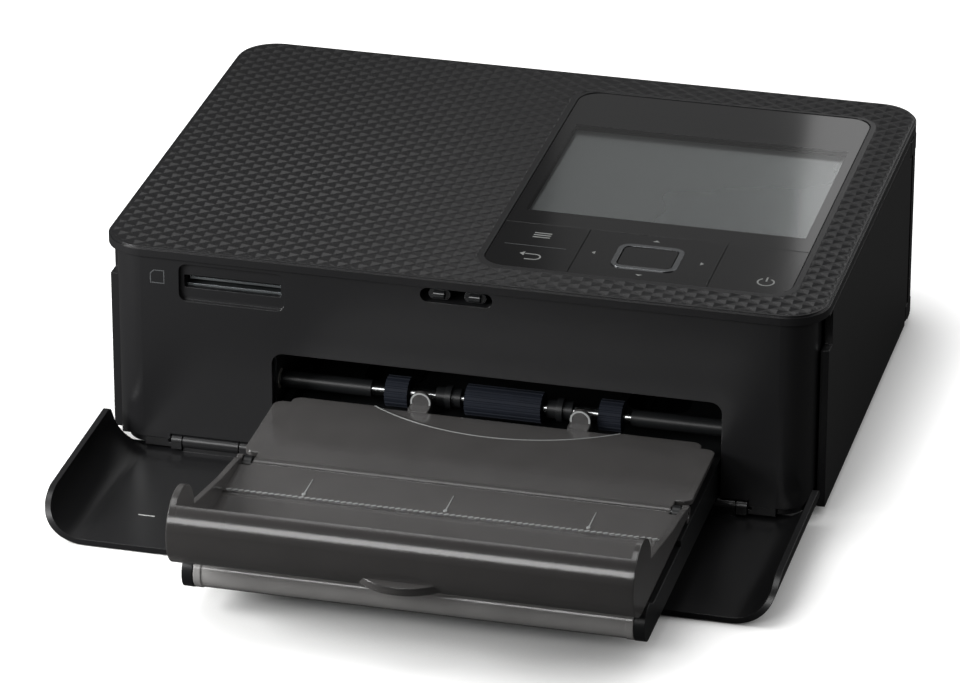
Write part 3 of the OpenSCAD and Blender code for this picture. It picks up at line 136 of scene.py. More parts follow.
class PRINTER_PG_marks(bpy.types.PropertyGroup):
    """Printed symbols."""

    line: length("Line", "Width of a symbol's line", 0.42, 0.1)
    thick: length("Thickness", "Thickness of the print", 0.02, 0.005)
    ink: tint("Key ink", "Colour of the symbols on the keys", "#8f918f")
    case_ink: tint("Case ink", "Colour of the symbols on the case", "#4d4f50")


class PRINTER_PG_lids(bpy.types.PropertyGroup):
    """Details moulded in the clear lids."""

    smoke: tint("Smoke", "Tint of the clear lids", "#989695")
    haze: tint("Haze", "Colour of the light that the lids scatter", "#757372")
    grip_x: length("Grip half width", "Half width of the thumb grip", 9.9, 2)
    grip_y: length("Grip reach", "How far the thumb grip stands out from the stop", 4.1, 1)
    grip_z: length("Grip thickness", "Thickness of the thumb grip", 2.0, 0.5)
    tick: length("Tick", "Length of a paper mark on the lid", 8.2, 1)


class PRINTER_PG_case(bpy.types.PropertyGroup):
    """Colours of the case."""

    case: tint("Case", "Moulded case", "#1c1c1d")
    gloss: tint("Keys", "Polished keys and window", "#0b0b0c")
    screen: tint("Screen", "Face of the display", "#c8caca")
    round_edge: length("Edge radius", "Radius that the moulded edges show", 0.25)


class PRINTER_PG_studio(bpy.types.PropertyGroup):
    """Studio."""

    floor: tint("Floor", "Colour of the floor", "#f2f2f1")
    glow: FloatProperty(name="Glow", description="Light that the floor adds in the picture",
                        default=0.95, min=0)
    sky: FloatProperty(name="Fill", description="Strength of the even light", default=0.1, min=0)
    front: power("Front", "Power of the soft box over the camera", 4.2)
    left: power("Left", "Power of the low soft box at the left", 1.4)
    back: power("Back", "Power of the soft box behind", 0.1)
    card: power("Card", "Power of the low card behind", 0.017)
    top: power("Top", "Power of the soft box overhead", 3.4)
    right: power("Right card", "Power of the small card behind, at the right", 0.03)
    side: power("Side", "Power of the soft box at the back right", 5.0)
    bounce: FloatProperty(name="Bounce", description="Share of its light that the floor throws on the part",
                          default=0.08, min=0, max=1)
    # reach of the painted contact shadow that ambient occlusion lays on the floor's glow
    painted_shadow_reach: length("Contact", "Reach of the dark under and round the part", 30.0, 1)


# ------------------------------------------------------------------ meshes


def as_mesh(name, verts, faces, body, smooth=False):
    """Object with the given vertices in millimetres and faces (k by 3 or 4 array), riding on a body."""
    verts = np.asarray(verts, float).reshape(-1, 3) * MM
    faces = np.asarray(faces, int)
    me = bpy.data.meshes.new(name)
    me.vertices.add(len(verts))
    me.vertices.foreach_set("co", verts.ravel().astype(np.float32))
    k = faces.shape[1]
    me.loops.add(faces.size)
    me.loops.foreach_set("vertex_index", faces.ravel().astype(np.int32))
    me.polygons.add(len(faces))
    me.polygons.foreach_set("loop_start", np.arange(0, faces.size, k, dtype=np.int32))
    me.polygons.foreach_set("loop_total", np.full(len(faces), k, np.int32))
    me.update(calc_edges=True)
    me.validate()
    me.polygons.foreach_set("use_smooth", np.full(len(me.polygons), smooth))
    ob = bpy.data.objects.new(name, me)
    bpy.context.scene.collection.objects.link(ob)
    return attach(ob, body)


def joined(*parts):
    """Vertices and faces of several (vertices, faces) pairs as one pair."""
    verts, faces, n = [], [], 0
    for v, f in parts:
        v = np.asarray(v, float).reshape(-1, 3)
        verts.append(v)
        faces.append(np.asarray(f, int) + n)
        n += len(v)
    return np.concatenate(verts), np.concatenate(faces)


def swept(path, wide, thick, up=(0, 0, 1), closed=False):
    """Bar of rectangular section carried along a path.

    At each point of the path the side direction is tangent x up, and the four corners are
    point +- side * wide / 2 and those raised by thick along up. wide may differ from point to
    point, and up may be one direction or one for each point.
    """
    p = np.asarray(path, float)
    n = len(p)
    up = np.broadcast_to(np.asarray(up, float), p.shape)
    wide = np.broadcast_to(np.asarray(wide, float), (n,))[:, None]
    t = np.roll(p, -1, 0) - np.roll(p, 1, 0) if closed else np.gradient(p, axis=0)
    side = np.cross(t, up)
    side /= np.linalg.norm(side, axis=1)[:, None]
    low, high = p - side * wide / 2, p + side * wide / 2
    rings = np.stack([low, high, high + up * thick, low + up * thick], 1)
    i = np.arange(n if closed else n - 1)[:, None]
    j = np.arange(4)[None]
    a, b = (i + 1) % n * 4, i * 4
    faces = np.stack([b + j, b + (j + 1) % 4, a + (j + 1) % 4, a + j], -1).reshape(-1, 4)
    if not closed:
        faces = np.concatenate([faces, [[3, 2, 1, 0]], [[n * 4 - 4, n * 4 - 3, n * 4 - 2, n * 4 - 1]]])
    return rings.reshape(-1, 3), faces


def arc(cx, cy, r, a0, a1, z, n=25):
    """Points on a flat circular arc from angle a0 to a1, in degrees."""
    a = np.radians(np.linspace(a0, a1, n))
    return np.stack([cx + r * np.cos(a), cy + r * np.sin(a), np.full(n, z)], 1)


def rounded_distance(x, y, low, high, r):
    """Signed distance to a rectangle with round corners: below 0 inside, above 0 outside."""
    cx, cy = (low[0] + high[0]) / 2, (low[1] + high[1]) / 2
    qx = np.abs(x - cx) - (high[0] - low[0]) / 2 + r
    qy = np.abs(y - cy) - (high[1] - low[1]) / 2 + r
    return np.hypot(np.maximum(qx, 0), np.maximum(qy, 0)) + np.minimum(np.maximum(qx, qy), 0) - r


# ------------------------------------------------------------------ materials


def add(tree, kind, inputs=None, **settings):
    """Add a shader node of a kind, with its settings, and set or link its inputs."""
    node = tree.nodes.new("ShaderNode" + kind)
    for key, value in settings.items():
        setattr(node, key, value)
    for key, value in (inputs or {}).items():
        if isinstance(value, bpy.types.NodeSocket):
            tree.links.new(value, node.inputs[key])
        else:
            node.inputs[key].default_value = value
    return node


def rgba(c, gain=1.0):
    """Colour as a socket takes it, with its brightness multiplied by gain."""
    return (c[0] * gain, c[1] * gain, c[2] * gain, 1.0)


def material(name):
    """Empty node material and its tree."""
    m = bpy.data.materials.new(name)
    m.use_nodes = True
    m.node_tree.nodes.clear()
    return m, m.node_tree


def grained(name, colour, rough, grain, bump, spec=0.5, metal=0.0, spread=0.04, rough_spread=0.02,
            patch=60.0, edge=0.0, stretch=(1, 1, 1)):
    """Opaque finish whose colour and roughness drift over patches of patch mm, bumped by a grain of grain mm.

    rough_spread is the roughness's drift, bump the grain's depth in millimetres, edge the radius in
    metres that the shading gives to sharp edges, and stretch scales the grain along X, Y and Z.
    """
    m, t = material(name)
    where = add(t, "TexCoord").outputs["Object"]
    scaled = add(t, "Mapping", {"Vector": where, "Scale": stretch}).outputs["Vector"]
    drift = add(t, "TexNoise", {"Vector": where, "Scale": 1 / (patch * MM), "Detail": 3.0}).outputs["Fac"]
    grit = add(t, "TexNoise", {"Vector": scaled, "Scale": 1 / (grain * MM), "Detail": 2.0}).outputs["Fac"]
    tone = add(t, "MixRGB", {"Fac": drift, "Color1": rgba(colour, 1 - spread),
                             "Color2": rgba(colour, 1 + spread)})
    dull = add(t, "MapRange", {"Value": drift, "From Min": 0.3, "From Max": 0.7,
                               "To Min": max(rough - rough_spread, 0.02), "To Max": rough + rough_spread})
    shape = {"Height": grit, "Strength": 0.6, "Distance": bump * MM}
    if edge:
        shape["Normal"] = add(t, "Bevel", {"Radius": edge}, samples=4).outputs["Normal"]
    face = add(t, "Bump", shape)
    s = add(t, "BsdfPrincipled", {"Base Color": tone.outputs["Color"], "Roughness": dull.outputs["Result"],
                                  "Normal": face.outputs["Normal"], "Metallic": metal,
                                  "Specular IOR Level": spec})
    add(t, "OutputMaterial", {"Surface": s.outputs["BSDF"]})
    return m


def mirrored(tree, normal):
    """Share of the light that a clear surface mirrors, the same from both sides: 0.04 + 0.96 (1 - cos)^5."""
    facing = add(tree, "LayerWeight", {"Blend": 0.5, "Normal": normal}).outputs["Facing"]
    fifth = add(tree, "Math", {0: facing, 1: 5.0}, operation="POWER").outputs["Value"]
    return add(tree, "Math", {0: fifth, 1: 0.96, 2: 0.04}, operation="MULTIPLY_ADD").outputs["Value"]


def smoked(name, smoke, haze, rough, cover, edge):
    """Clear moulded plastic as a thin, tinted wall, hazier at grazing angles and with gloss over it.

    cover is the share of the haze seen square on.
    """
    m, t = material(name)
    where = add(t, "TexCoord").outputs["Object"]
    drift = add(t, "TexNoise", {"Vector": where, "Scale": 1 / (9 * MM), "Detail": 2.0}).outputs["Fac"]
    ripple = add(t, "TexNoise", {"Vector": where, "Scale": 1 / (2.5 * MM), "Detail": 1.0}).outputs["Fac"]
    round_ = add(t, "Bevel", {"Radius": edge}, samples=4).outputs["Normal"]
    normal = add(t, "Bump", {"Height": ripple, "Strength": 0.25, "Distance": 0.05 * MM,
                             "Normal": round_}).outputs["Normal"]
    graze = add(t, "LayerWeight", {"Blend": 0.35, "Normal": normal}).outputs["Facing"]
    share = add(t, "MapRange", {"Value": graze, "From Min": 0.0, "From Max": 0.9,
                                "To Min": cover, "To Max": 0.8})
    tone = add(t, "MixRGB", {"Fac": drift, "Color1": rgba(haze, 0.85), "Color2": rgba(haze, 1.15)})
    body = add(t, "BsdfPrincipled", {"Base Color": tone.outputs["Color"], "Roughness": rough, "Normal": normal,
                                     "Specular IOR Level": 0.5})
    clear = add(t, "BsdfTransparent", {"Color": rgba(smoke)})
    mix = add(t, "MixShader", {"Fac": share.outputs["Result"], 1: clear.outputs["BSDF"],
                               2: body.outputs["BSDF"]})
    gloss = add(t, "BsdfGlossy", {"Color": (1, 1, 1, 1), "Roughness": rough * 0.6, "Normal": normal})
    top = add(t, "MixShader", {"Fac": mirrored(t, normal), 1: mix.outputs["Shader"],
                               2: gloss.outputs["BSDF"]})
    add(t, "OutputMaterial", {"Surface": top.outputs["Shader"]})
    return m


def window_glass(name, colour, edge):
    """Polished acrylic, printed black on its back round the display and clear over it.

    The clear part is a rectangle in X and Y, measured in the object's own coordinates.
    """
    x0, x1, y0, y1 = SCREEN
    m, t = material(name)
    where = add(t, "TexCoord").outputs["Object"]
    xyz = add(t, "SeparateXYZ", {"Vector": where})
    inside = None
    for axis, a, b in (("X", x0, x1), ("Y", y0, y1)):
        off = add(t, "Math", {0: xyz.outputs[axis], 1: (a + b) / 2 * MM}, operation="SUBTRACT")
        size = add(t, "Math", {0: off.outputs["Value"]}, operation="ABSOLUTE")
        one = add(t, "Math", {0: size.outputs["Value"], 1: (b - a) / 2 * MM}, operation="LESS_THAN")
        one = one.outputs["Value"]
        if inside is not None:
            one = add(t, "Math", {0: inside, 1: one}, operation="MULTIPLY").outputs["Value"]
        inside = one
    drift = add(t, "TexNoise", {"Vector": where, "Scale": 1 / (30 * MM), "Detail": 2.0}).outputs["Fac"]
    dull = add(t, "MapRange", {"Value": drift, "To Min": 0.06, "To Max": 0.12})
    normal = add(t, "Bevel", {"Radius": edge}, samples=4).outputs["Normal"]
    black = add(t, "BsdfPrincipled", {"Base Color": rgba(colour), "Roughness": dull.outputs["Result"],
                                      "Normal": normal, "Specular IOR Level": 0.5})
    clear = add(t, "BsdfTransparent", {"Color": (0.82, 0.83, 0.83, 1)})
    gloss = add(t, "BsdfGlossy", {"Color": (1, 1, 1, 1), "Roughness": dull.outputs["Result"],
                                  "Normal": normal})
    pane = add(t, "MixShader", {"Fac": mirrored(t, normal), 1: clear.outputs["BSDF"],
                                2: gloss.outputs["BSDF"]})
    both = add(t, "MixShader", {"Fac": inside, 1: black.outputs["BSDF"], 2: pane.outputs["Shader"]})
    add(t, "OutputMaterial", {"Surface": both.outputs["Shader"]})
    return m


SCREEN = (6.55, 77.65, deep(45.8), deep(100.2))


def finishes(case, lids):
    """The finish of every material slot, by slot name."""
    edge = case.round_edge
    return {
        # ABS with a fine spark-eroded mould texture: a broad, soft sheen
        "case_black": grained("moulded_abs_black", case.case, 0.3, 0.55, 0.006, spec=0.5, edge=edge),
        # polished ABS keys: deep black with a clear reflection
        "key_gloss": grained("polished_abs_black", case.gloss, 0.12, 1.5, 0.004, spec=0.45,
                             rough_spread=0.03, edge=edge),
        # acrylic window, printed black on its back
        "panel_glass": window_glass("printed_acrylic", case.gloss, edge),
        # anti-glare film of the display
        "screen_grey": grained("display_film", case.screen, 0.28, 0.4, 0.0, metal=0.9, spread=0.02),
        # solder mask over copper, faint weave of the glass fibre
        "board_green": grained("solder_mask", hex_linear("#1c5236"), 0.35, 0.5, 0.03, spread=0.2, patch=6),
        # zinc-plated steel sheet: dull spangles
        "sheet_steel": grained("zinc_plated_sheet", hex_linear("#8f9496"), 0.38, 0.6, 0.01, metal=1,
                               patch=7, edge=edge / 2),
        # ground shafts: fine rings round the axis
        "ground_steel": grained("ground_steel", hex_linear("#a9abac"), 0.22, 0.3, 0.006, metal=1,
                                stretch=(6, 1, 1)),
        # extruded aluminium of the heat sink: fine lines along the extrusion
        "aluminium": grained("extruded_aluminium", hex_linear("#b9bcbe"), 0.35, 0.4, 0.01, metal=1,
                             stretch=(0.2, 1, 1)),
        # chromed ring and bright pins
        "bright_metal": grained("bright_chrome", hex_linear("#8e9092"), 0.22, 1.0, 0.002, metal=1,
                                rough_spread=0.04, edge=edge / 2),
        # acetal gears: waxy off-white
        "gear_white": grained("moulded_acetal", hex_linear("#dcdad2"), 0.4, 0.8, 0.01, spread=0.05,
                              edge=edge / 2),
        # moulded rubber of the feet and the key pad
        "rubber_black": grained("moulded_rubber", hex_linear("#1b1b1b"), 0.75, 0.5, 0.05, spec=0.3),
        # blue-grey feed rubber, dusty from paper
        "roller_rubber": grained("feed_rubber", hex_linear("#161a23"), 0.75, 0.5, 0.04, spec=0.2,
                                 spread=0.2, patch=5),
        # ground black rubber of the platen
        "roller_black": grained("platen_rubber", hex_linear("#262829"), 0.55, 0.4, 0.02, spec=0.35),
        # silicone pads
        "pad_grey": grained("silicone_pad", hex_linear("#54585a"), 0.6, 0.5, 0.02, spec=0.35),
        # polished dark nubs of the flap catch
        "catch_grey": grained("polished_catch", hex_linear("#1e1f20"), 0.16, 1.0, 0.004, spec=0.6,
                              rough_spread=0.04, edge=edge),
        # wound dye ribbon: fine lines of the film's edges across the roll
        "ink_film": grained("wound_film", hex_linear("#8a6a2c"), 0.3, 0.25, 0.02, spread=0.25, patch=3,
                            stretch=(0.05, 1, 1)),
        # glazed ceramic of the thermal head
        "ceramic": grained("glazed_ceramic", hex_linear("#cfc7b2"), 0.3, 0.6, 0.01, spread=0.08),
        # moulded tray of the cassette, a little duller than the case
        "tray_black": grained("moulded_tray_black", hex_linear("#171819"), 0.38, 0.6, 0.02, spec=0.4,
                              edge=edge),
        # the cassette's clear nose: a lighter copy of the lids' smoked finish, painted brightness for the
        # highlights and light that the thick clear bar shows
        "smoke_painted_light": smoked("smoked_styrene_painted_light", lids.smoke, hex_linear("#d2d0ce"), 0.2, 0.5, 2 * edge),
        # smoke-tinted clear styrene of the lids
        "smoke_clear": smoked("smoked_styrene", lids.smoke, lids.haze, 0.25, 0.14, 2 * edge),
    }


# ------------------------------------------------------------------ operators


def settings(context):
    """The add-on's settings on the scene."""
    return context.scene.printer_case, context.scene.printer_lids


FINISH = {}
PAINTED_LIGHT_NODES = {"nose_bar": "smoke_painted_light"}  # nodes whose thick clear section gets a lighter finish than their slot's: painted brightness


def dress(ob, slot):
    """Give a new piece the finish of the named slot."""
    ob.data.materials.append(FINISH[slot])
    return ob


class PRINTER_OT_finishes(bpy.types.Operator):
    """Make the finishes and put them on the CAD nodes"""

    bl_idname = PREFIX + "finishes"
    bl_label = "Finishes"

    def execute(self, context):
        case, lids = settings(context)
        FINISH.update(finishes(case, lids))
        for part in FRAME["record"]["subparts"]:
            ob = FRAME["nodes"][part["node"]]
            ob.data.materials.clear()
            ob.data.materials.append(FINISH[PAINTED_LIGHT_NODES.get(part["node"], part["material_slot"])])
        return {"FINISHED"}


class PRINTER_OT_knurl(bpy.types.Operator):
    """Cover the top with staggered four-sided studs"""

    bl_idname = PREFIX + "knurl"
    bl_label = "Knurled top"

    def execute(self, context):
        """Height over the cover = height * (1 - |u| - |v|), where u and v are the offsets from the
        nearest stud centre in half pitches, or height * abs(|u| - |v|) where they are measured from
        the corner of four studs; it fades to nothing at the rims."""
        c = context.scene.printer_cover
        n = c.steps
        px, py, tall = c.pitch_x / MM, c.pitch_y / MM, c.height / MM
        low, high = COVER[0][:2] + c.rim / MM, COVER[1][:2] - c.rim / MM
        margin = c.panel_rim / MM
        panel = (np.array([PANEL_X[0], PANEL_Y[0]]) - margin, np.array([PANEL_X[1], PANEL_Y[1]]) + margin)

        def outside(x, y):
            return np.maximum(rounded_distance(x, y, low, high, COVER_R - c.rim / MM),
                              -rounded_distance(x, y, panel[0], panel[1], PANEL_R + c.panel_rim / MM))

        nx, ny = (int(math.ceil(s)) * n for s in (high - low) / (px / 2, py / 2))
        i, j = np.meshgrid(np.arange(nx + 1), np.arange(ny + 1), indexing="ij")
        x, y = low[0] + i * px / 2 / n, low[1] + j * py / 2 / n
        ci, cj = np.rint(i / n), np.rint(j / n)
        u, v = i / n - ci, j / n - cj
        # a whole step that is odd in sum is a corner of four studs, not a centre
        odd = (ci + cj) % 2 == 1
        h = np.where(odd, np.abs(np.abs(u) - np.abs(v)), 1 - np.abs(u) - np.abs(v))
        d = outside(x, y)
        e = 1e-3
        gx = (outside(x + e, y) - outside(x - e, y)) / (2 * e)
        gy = (outside(x, y + e) - outside(x, y - e)) / (2 * e)
        move = np.maximum(d, 0)
        x, y = x - gx * move, y - gy * move
        z = TOP_Z + 2 * LIFT + tall * h * np.clip(-d / KNURL_FADE, 0, 1)
        index = i * (ny + 1) + j
        a, b, cc, dd = index[:-1, :-1], index[1:, :-1], index[1:, 1:], index[:-1, 1:]
        # the valleys run along the diagonals that join odd corners
        fi, fj = i[:-1, :-1] // n, j[:-1, :-1] // n
        rising = (fi + fj) % 2 == 1
        t1 = np.where(rising[..., None], np.stack([a, b, cc], -1), np.stack([a, b, dd], -1))
        t2 = np.where(rising[..., None], np.stack([a, cc, dd], -1), np.stack([b, cc, dd], -1))
        inner = d < 0
        keep = inner[:-1, :-1] | inner[1:, :-1] | inner[1:, 1:] | inner[:-1, 1:]
        faces = np.concatenate([t1[keep], t2[keep]])
        used, faces = np.unique(faces, return_inverse=True)
        verts = np.stack([x, y, z], -1).reshape(-1, 3)[used]
        ob = as_mesh("knurl", verts, faces.reshape(-1, 3), "housing")
        dress(ob, "case_black")
        return {"FINISHED"}


class PRINTER_OT_marks(bpy.types.Operator):
    """Print the symbols on the keys, the case and the flap"""

    bl_idname = PREFIX + "marks"
    bl_label = "Symbols"

    def execute(self, context):
        c = context.scene.printer_marks
        w, th = c.line / MM, c.thick / MM
        FINISH["key_ink"] = grained("key_ink", c.ink, 0.5, 0.3, 0.002)
        FINISH["case_ink"] = grained("case_ink", c.case_ink, 0.5, 0.3, 0.002)
        FINISH["flap_ink"] = grained("flap_ink", hex_linear("#b9bab8"), 0.5, 0.3, 0.002)
        z = KEY_Z + LIFT

        def bar(x0, y0, x1, y1, wide=w):
            """Straight line at the height z."""
            return swept(np.linspace([x0, y0, z], [x1, y1, z], 3), wide, th)

        def head(x, y, dx, dy, half):
            """Triangle with its tip at x, y pointing along dx, dy."""
            return swept([[x - dx * half, y - dy * half, z], [x, y, z]], [2 * half, 0.05], th)

        lines = [bar(12.0, deep(31.5 + s), 16.4, deep(31.5 + s), 0.5) for s in (-1.2, 0, 1.2)]
        back = [swept(np.concatenate([[[12.6, deep(20.2), z]], [[15.2, deep(20.2), z]],
                                      arc(15.2, deep(18.7), 1.5, 88, -88, z, 15), [[13.0, deep(17.2), z]]]), w, th),
                head(11.2, deep(20.2), -1, 0, 1.2)]
        rule = [bar(6.2, deep(24.95), 21.8, deep(24.95), 0.25)]
        dress(as_mesh("menu_symbols", *joined(*lines, *back), "menu_key"), "key_ink")
        dress(as_mesh("menu_rule", *joined(*rule), "menu_key"), "case_ink")
        tips = [(28.3, 24.85, -1, 0), (56.5, 24.85, 1, 0), (42.4, 35.4, 0, 1), (42.4, 14.3, 0, -1)]
        arrows = [head(x, deep(y), dx, dy, 0.85) for x, y, dx, dy in tips]
        dress(as_mesh("arrow_symbols", *joined(*arrows), "arrow_key"), "key_ink")
        ring = swept(arc(73.3, deep(18.5), 2.0, 122, 418, z, 41), w, th)
        stem = bar(73.3, deep(18.9), 73.3, deep(21.3))
        dress(as_mesh("power_symbol", *joined(ring, stem), "power_key"), "key_ink")

        # short white line on the flap's floor
        z = span("front_flap")[0][2] + 1.505
        dress(as_mesh("flap_line", *bar(-71.3, deep(-34.5), -67.1, deep(-34.5), 0.45), "flap"), "flap_ink")

        # memory card outline on the front, with its cut corner
        y = span("front_panel")[0][1] - LIFT
        x0, x1, z0, z1, cut = -78.0, -74.5, 47.8, 51.2, 0.9
        path = [(x0, z0), (x1, z0), (x1, z1), (x0 + cut, z1), (x0, z1 - cut)]
        ends = zip(path, path[1:] + path[:1])
        edge = np.concatenate([np.linspace([a[0], y, a[1]], [b[0], y, b[1]], 6)[:-1] for a, b in ends])
        card = swept(edge, 0.22, th, up=(0, -1, 0), closed=True)
        dress(as_mesh("card_symbol", *card, "housing"), "case_ink")
        return {"FINISHED"}


class PRINTER_OT_lid_details(bpy.types.Operator):
    """Mould the thumb grip, the paper marks and the seam into the outer lid, the marks light grey as painted
    highlights, and lay painted highlight strips along the inner lid's edges
    """

    bl_idname = PREFIX + "lid_details"
    bl_label = "Lid details"

    def execute(self, context):
        c = context.scene.printer_lids
        # light grey that paints the highlights on the clear lids' edges and moulded marks
        FINISH["painted_highlight_edge"] = grained("styrene_painted_highlight", hex_linear("#9fa1a0"), 0.2, 0.8, 0.003,
                                        rough_spread=0.05)
        # thumb grip: a plate in the shape of a circular segment, flat against the stop
        half, reach, thick = c.grip_x / MM, c.grip_y / MM, c.grip_z / MM
        r = (half**2 + reach**2) / (2 * reach)
        x, y, z = LID_MID, deep(-89.4), 22.7 - thick
        turn = math.degrees(math.asin(half / r))
        rim = arc(x, y - reach + r, r, 270 - turn, 270 + turn, z, 33)
        base = rim * (1, 0, 1) + (0, y + 2.5, 0)
        n = len(rim)
        ring = np.concatenate([rim, base, rim + (0, 0, thick), base + (0, 0, thick)])
        i = np.arange(n - 1)[:, None]
        low, high = 0, 2 * n
        pairs = ((n, low), (high, 3 * n), (low, high), (3 * n, n))
        strip = [(i + a, i + a + 1, i + b + 1, i + b) for a, b in pairs]
        ends = [[0, 2 * n, 3 * n, n], [n - 1, 2 * n - 1, 4 * n - 1, 3 * n - 1]]
        grip = (ring, np.concatenate([np.concatenate(q, 1) for q in strip] + [ends]))
        # paper marks: three fine ridges with a dot at their front end, and the seam line before them, all moulded
        # in the lid and drawn in the light grey of a painted highlight
        z = LID_TOP + 2 * LIFT
        marks = []
        for x in (LID_MID - 35.1, LID_MID, LID_MID + 35.1):
            y0 = deep(-47.5)
            marks.append(swept([[x, y0, z], [x, y0 + c.tick / MM, z]], [0.34, 0.14], 0.1))
            marks.append(swept(arc(x, y0, 0.3, 0, 345, z, 24), 0.4, 0.25, closed=True))
        # hatched seam along the front edge of the platform: short slanted ribs side by side
        seam = np.arange(LID[0][0] + 2.2, LID[1][0] - 2.4, 1.5)
        marks += [swept([[x, deep(-49.35), z], [x + 1.1, deep(-48.75), z]], 0.5, 0.12) for x in seam]
        dress(as_mesh("lid_marks", *joined(*marks), "outer_lid"), "painted_highlight_edge")
        # painted highlights on the inner lid: light grey strips along the edge of its finger recess and the rounds
        # of its two tabs
        z = span("inner_lid")[1][2] - TAB_RISE
        r, depth = SCALLOP
        rims = [swept(arc(LID_MID, deep(INNER_BACK - depth + r), r, 234.8, 305.2, z + LIFT, 61), 0.3, 0.06)]
        for x in (LID_MID - TAB_OFF, LID_MID + TAB_OFF):
            a = np.radians(np.linspace(-15, 195, 29))
            r = TAB_R - 0.25
            front = np.full(29, deep(INNER_BACK + 2.79))
            path = np.stack([x + r * np.cos(a), front, z + TAB_RISE - TAB_R + r * np.sin(a)], 1)
            rims.append(swept(path, 0.45, 0.1, up=(0, -1, 0)))
        dress(as_mesh("lid_painted_highlight_rims", *joined(*rims), "inner_lid"), "painted_highlight_edge")
        dress(as_mesh("thumb_grip", *grip, "outer_lid"), "smoke_clear")
        return {"FINISHED"}


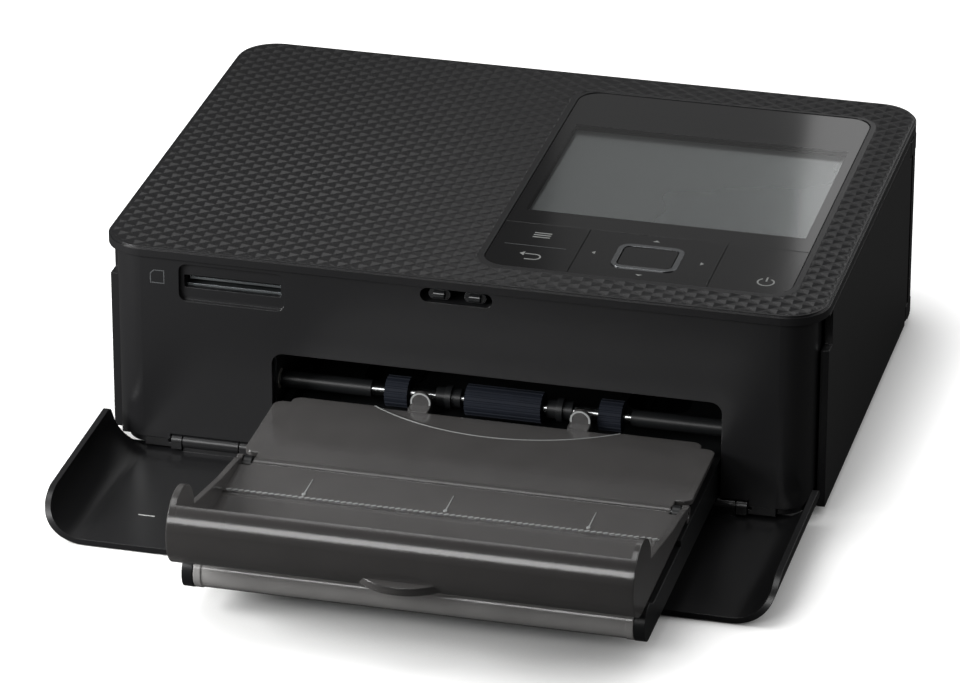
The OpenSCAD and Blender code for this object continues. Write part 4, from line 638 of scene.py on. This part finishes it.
class PRINTER_OT_studio(bpy.types.Operator):
    """Set the camera, the lamps, the even light and the pale floor"""

    bl_idname = PREFIX + "studio"
    bl_label = "Studio"

    def execute(self, context):
        c = context.scene.printer_studio
        scene = context.scene
        scene.view_settings.view_transform = "Standard"
        a, e, roll = (math.radians(v) for v in CAMERA_TURN)
        right = Vector((math.cos(a), math.sin(a), 0))
        back = Vector((math.sin(a) * math.cos(e), -math.cos(a) * math.cos(e), math.sin(e)))
        turn = Matrix.Rotation(roll, 3, back)
        right, up = turn @ right, turn @ back.cross(right)
        cam = bpy.data.cameras.new("camera")
        cam.lens, cam.sensor_width, cam.sensor_fit = 222.37, 36.0, "HORIZONTAL"
        cam.clip_start, cam.clip_end = 0.05, 50
        ob = bpy.data.objects.new("camera", cam)
        frame = Matrix((right, up, back)).transposed().to_4x4()
        ob.matrix_world = Matrix.Translation(CAMERA_AT) @ frame
        scene.collection.objects.link(ob)
        scene.camera = ob

        def lamp(name, at, size, watts, aim=(0, 0, 0.03)):
            data = bpy.data.lights.new(name, "AREA")
            data.shape, data.size, data.size_y, data.energy = "RECTANGLE", size[0], size[1], watts
            o = bpy.data.objects.new(name, data)
            facing = (Vector(at) - Vector(aim)).to_track_quat("Z", "Y").to_matrix().to_4x4()
            o.matrix_world = Matrix.Translation(at) @ facing
            scene.collection.objects.link(o)

        lamp("soft_box_front", (-0.3, -1.2, 0.75), (0.5, 0.35), c.front)
        lamp("soft_box_back", (-0.13, 0.43, 0.48), (0.16, 0.12), c.back)
        lamp("soft_box_left", (-0.27, -0.2, 0.15), (0.14, 0.14), c.left, (-0.1, -0.03, 0.04))
        lamp("soft_box_top", (-0.2, -0.1, 1.2), (0.6, 0.6), c.top)
        lamp("soft_box_side", (0.85, 0.6, 0.6), (1.4, 0.9), c.side)
        lamp("card_back", (-0.07, 0.66, 0.28), (0.13, 0.22), c.card)
        lamp("card_right", (0.0, 0.66, 0.33), (0.09, 0.1), c.right)

        world = bpy.data.worlds.new("even_light")
        world.use_nodes = True
        world.node_tree.nodes.clear()
        # white where the camera looks past the floor, an even fill for everything else
        seen = add(world.node_tree, "LightPath").outputs["Is Camera Ray"]
        level = add(world.node_tree, "MapRange", {"Value": seen, "To Min": c.sky, "To Max": 1.0})
        sky = add(world.node_tree, "Background", {"Color": (1, 1, 1, 1), "Strength": level.outputs["Result"]})
        add(world.node_tree, "OutputWorld", {"Surface": sky.outputs["Background"]})
        scene.world = world

        m, t = material("pale_floor")
        where = add(t, "TexCoord").outputs["Object"]
        fleck = add(t, "TexNoise", {"Vector": where, "Scale": 40.0, "Detail": 2.0}).outputs["Fac"]
        tone = add(t, "MixRGB", {"Fac": fleck, "Color1": rgba(c.floor, 0.99), "Color2": rgba(c.floor, 1.01)})
        path = add(t, "LightPath")
        seen = add(t, "Math", {0: path.outputs["Is Camera Ray"], 1: path.outputs["Is Transmission Ray"]},
                   operation="MAXIMUM")
        dim = add(t, "MixRGB", {"Fac": seen.outputs["Value"], "Color1": rgba(c.floor, c.bounce),
                                "Color2": tone.outputs["Color"]})
        plain = add(t, "BsdfDiffuse", {"Color": dim.outputs["Color"]})
        # lit and shadowed like any floor, with a glow on top of it that only the camera sees; ambient occlusion
        # dims that glow under and round the part, a painted contact shadow that is darkest in the gaps
        clear = add(t, "AmbientOcclusion", {"Distance": c.painted_shadow_reach}, samples=8).outputs["AO"]
        level = add(t, "Math", {0: seen.outputs["Value"], 1: c.glow}, operation="MULTIPLY")
        painted_contact_shadow = add(t, "Math", {0: clear, 1: 2.5}, operation="POWER").outputs["Value"]
        level = add(t, "Math", {0: level.outputs["Value"], 1: painted_contact_shadow}, operation="MULTIPLY")
        glow = add(t, "Emission", {"Color": (1, 1, 1, 1), "Strength": level.outputs["Value"]})
        both = add(t, "AddShader", {0: plain.outputs["BSDF"], 1: glow.outputs["Emission"]})
        add(t, "OutputMaterial", {"Surface": both.outputs["Shader"]})
        half = 6.0
        corners = [(x * half, y * half, 0) for x, y in ((-1, -1), (1, -1), (1, 1), (-1, 1))]
        me = bpy.data.meshes.new("floor")
        me.from_pydata(corners, [], [(0, 1, 2, 3)])
        floor = bpy.data.objects.new("floor", me)
        me.materials.append(m)
        scene.collection.objects.link(floor)
        return {"FINISHED"}


class PRINTER_PT_panel(bpy.types.Panel):
    """Sizes and colours of the printer's finish"""

    bl_label = "Printer finish"
    bl_idname = "PRINTER_PT_panel"
    bl_space_type = "VIEW_3D"
    bl_region_type = "UI"
    bl_category = "Printer"

    def draw(self, context):
        for name in GROUPS:
            group = getattr(context.scene, name)
            box = self.layout.box()
            box.label(text=group.__doc__)
            for key in group.__annotations__:
                box.prop(group, key)
        for op in OPERATORS:
            self.layout.operator(op.bl_idname)


GROUPS = {
    "printer_case": PRINTER_PG_case,
    "printer_cover": PRINTER_PG_cover,
    "printer_marks": PRINTER_PG_marks,
    "printer_lids": PRINTER_PG_lids,
    "printer_studio": PRINTER_PG_studio,
}
OPERATORS = (PRINTER_OT_studio, PRINTER_OT_finishes, PRINTER_OT_knurl, PRINTER_OT_marks,
             PRINTER_OT_lid_details)


def register():
    """Register the classes and put the settings on the scene."""
    for cls in (*GROUPS.values(), *OPERATORS, PRINTER_PT_panel):
        bpy.utils.register_class(cls)
    for name, group in GROUPS.items():
        setattr(bpy.types.Scene, name, PointerProperty(type=group))


def unregister():
    """Take the settings and the classes away again."""
    for name in GROUPS:
        delattr(bpy.types.Scene, name)
    for cls in (PRINTER_PT_panel, *OPERATORS[::-1], *list(GROUPS.values())[::-1]):
        bpy.utils.unregister_class(cls)


def main():
    """Register the add-on and build the looks in order."""
    register()
    for op in OPERATORS:
        getattr(bpy.ops.printer, op.bl_idname.split(".")[1])()


if __name__ == "__main__":
    main()
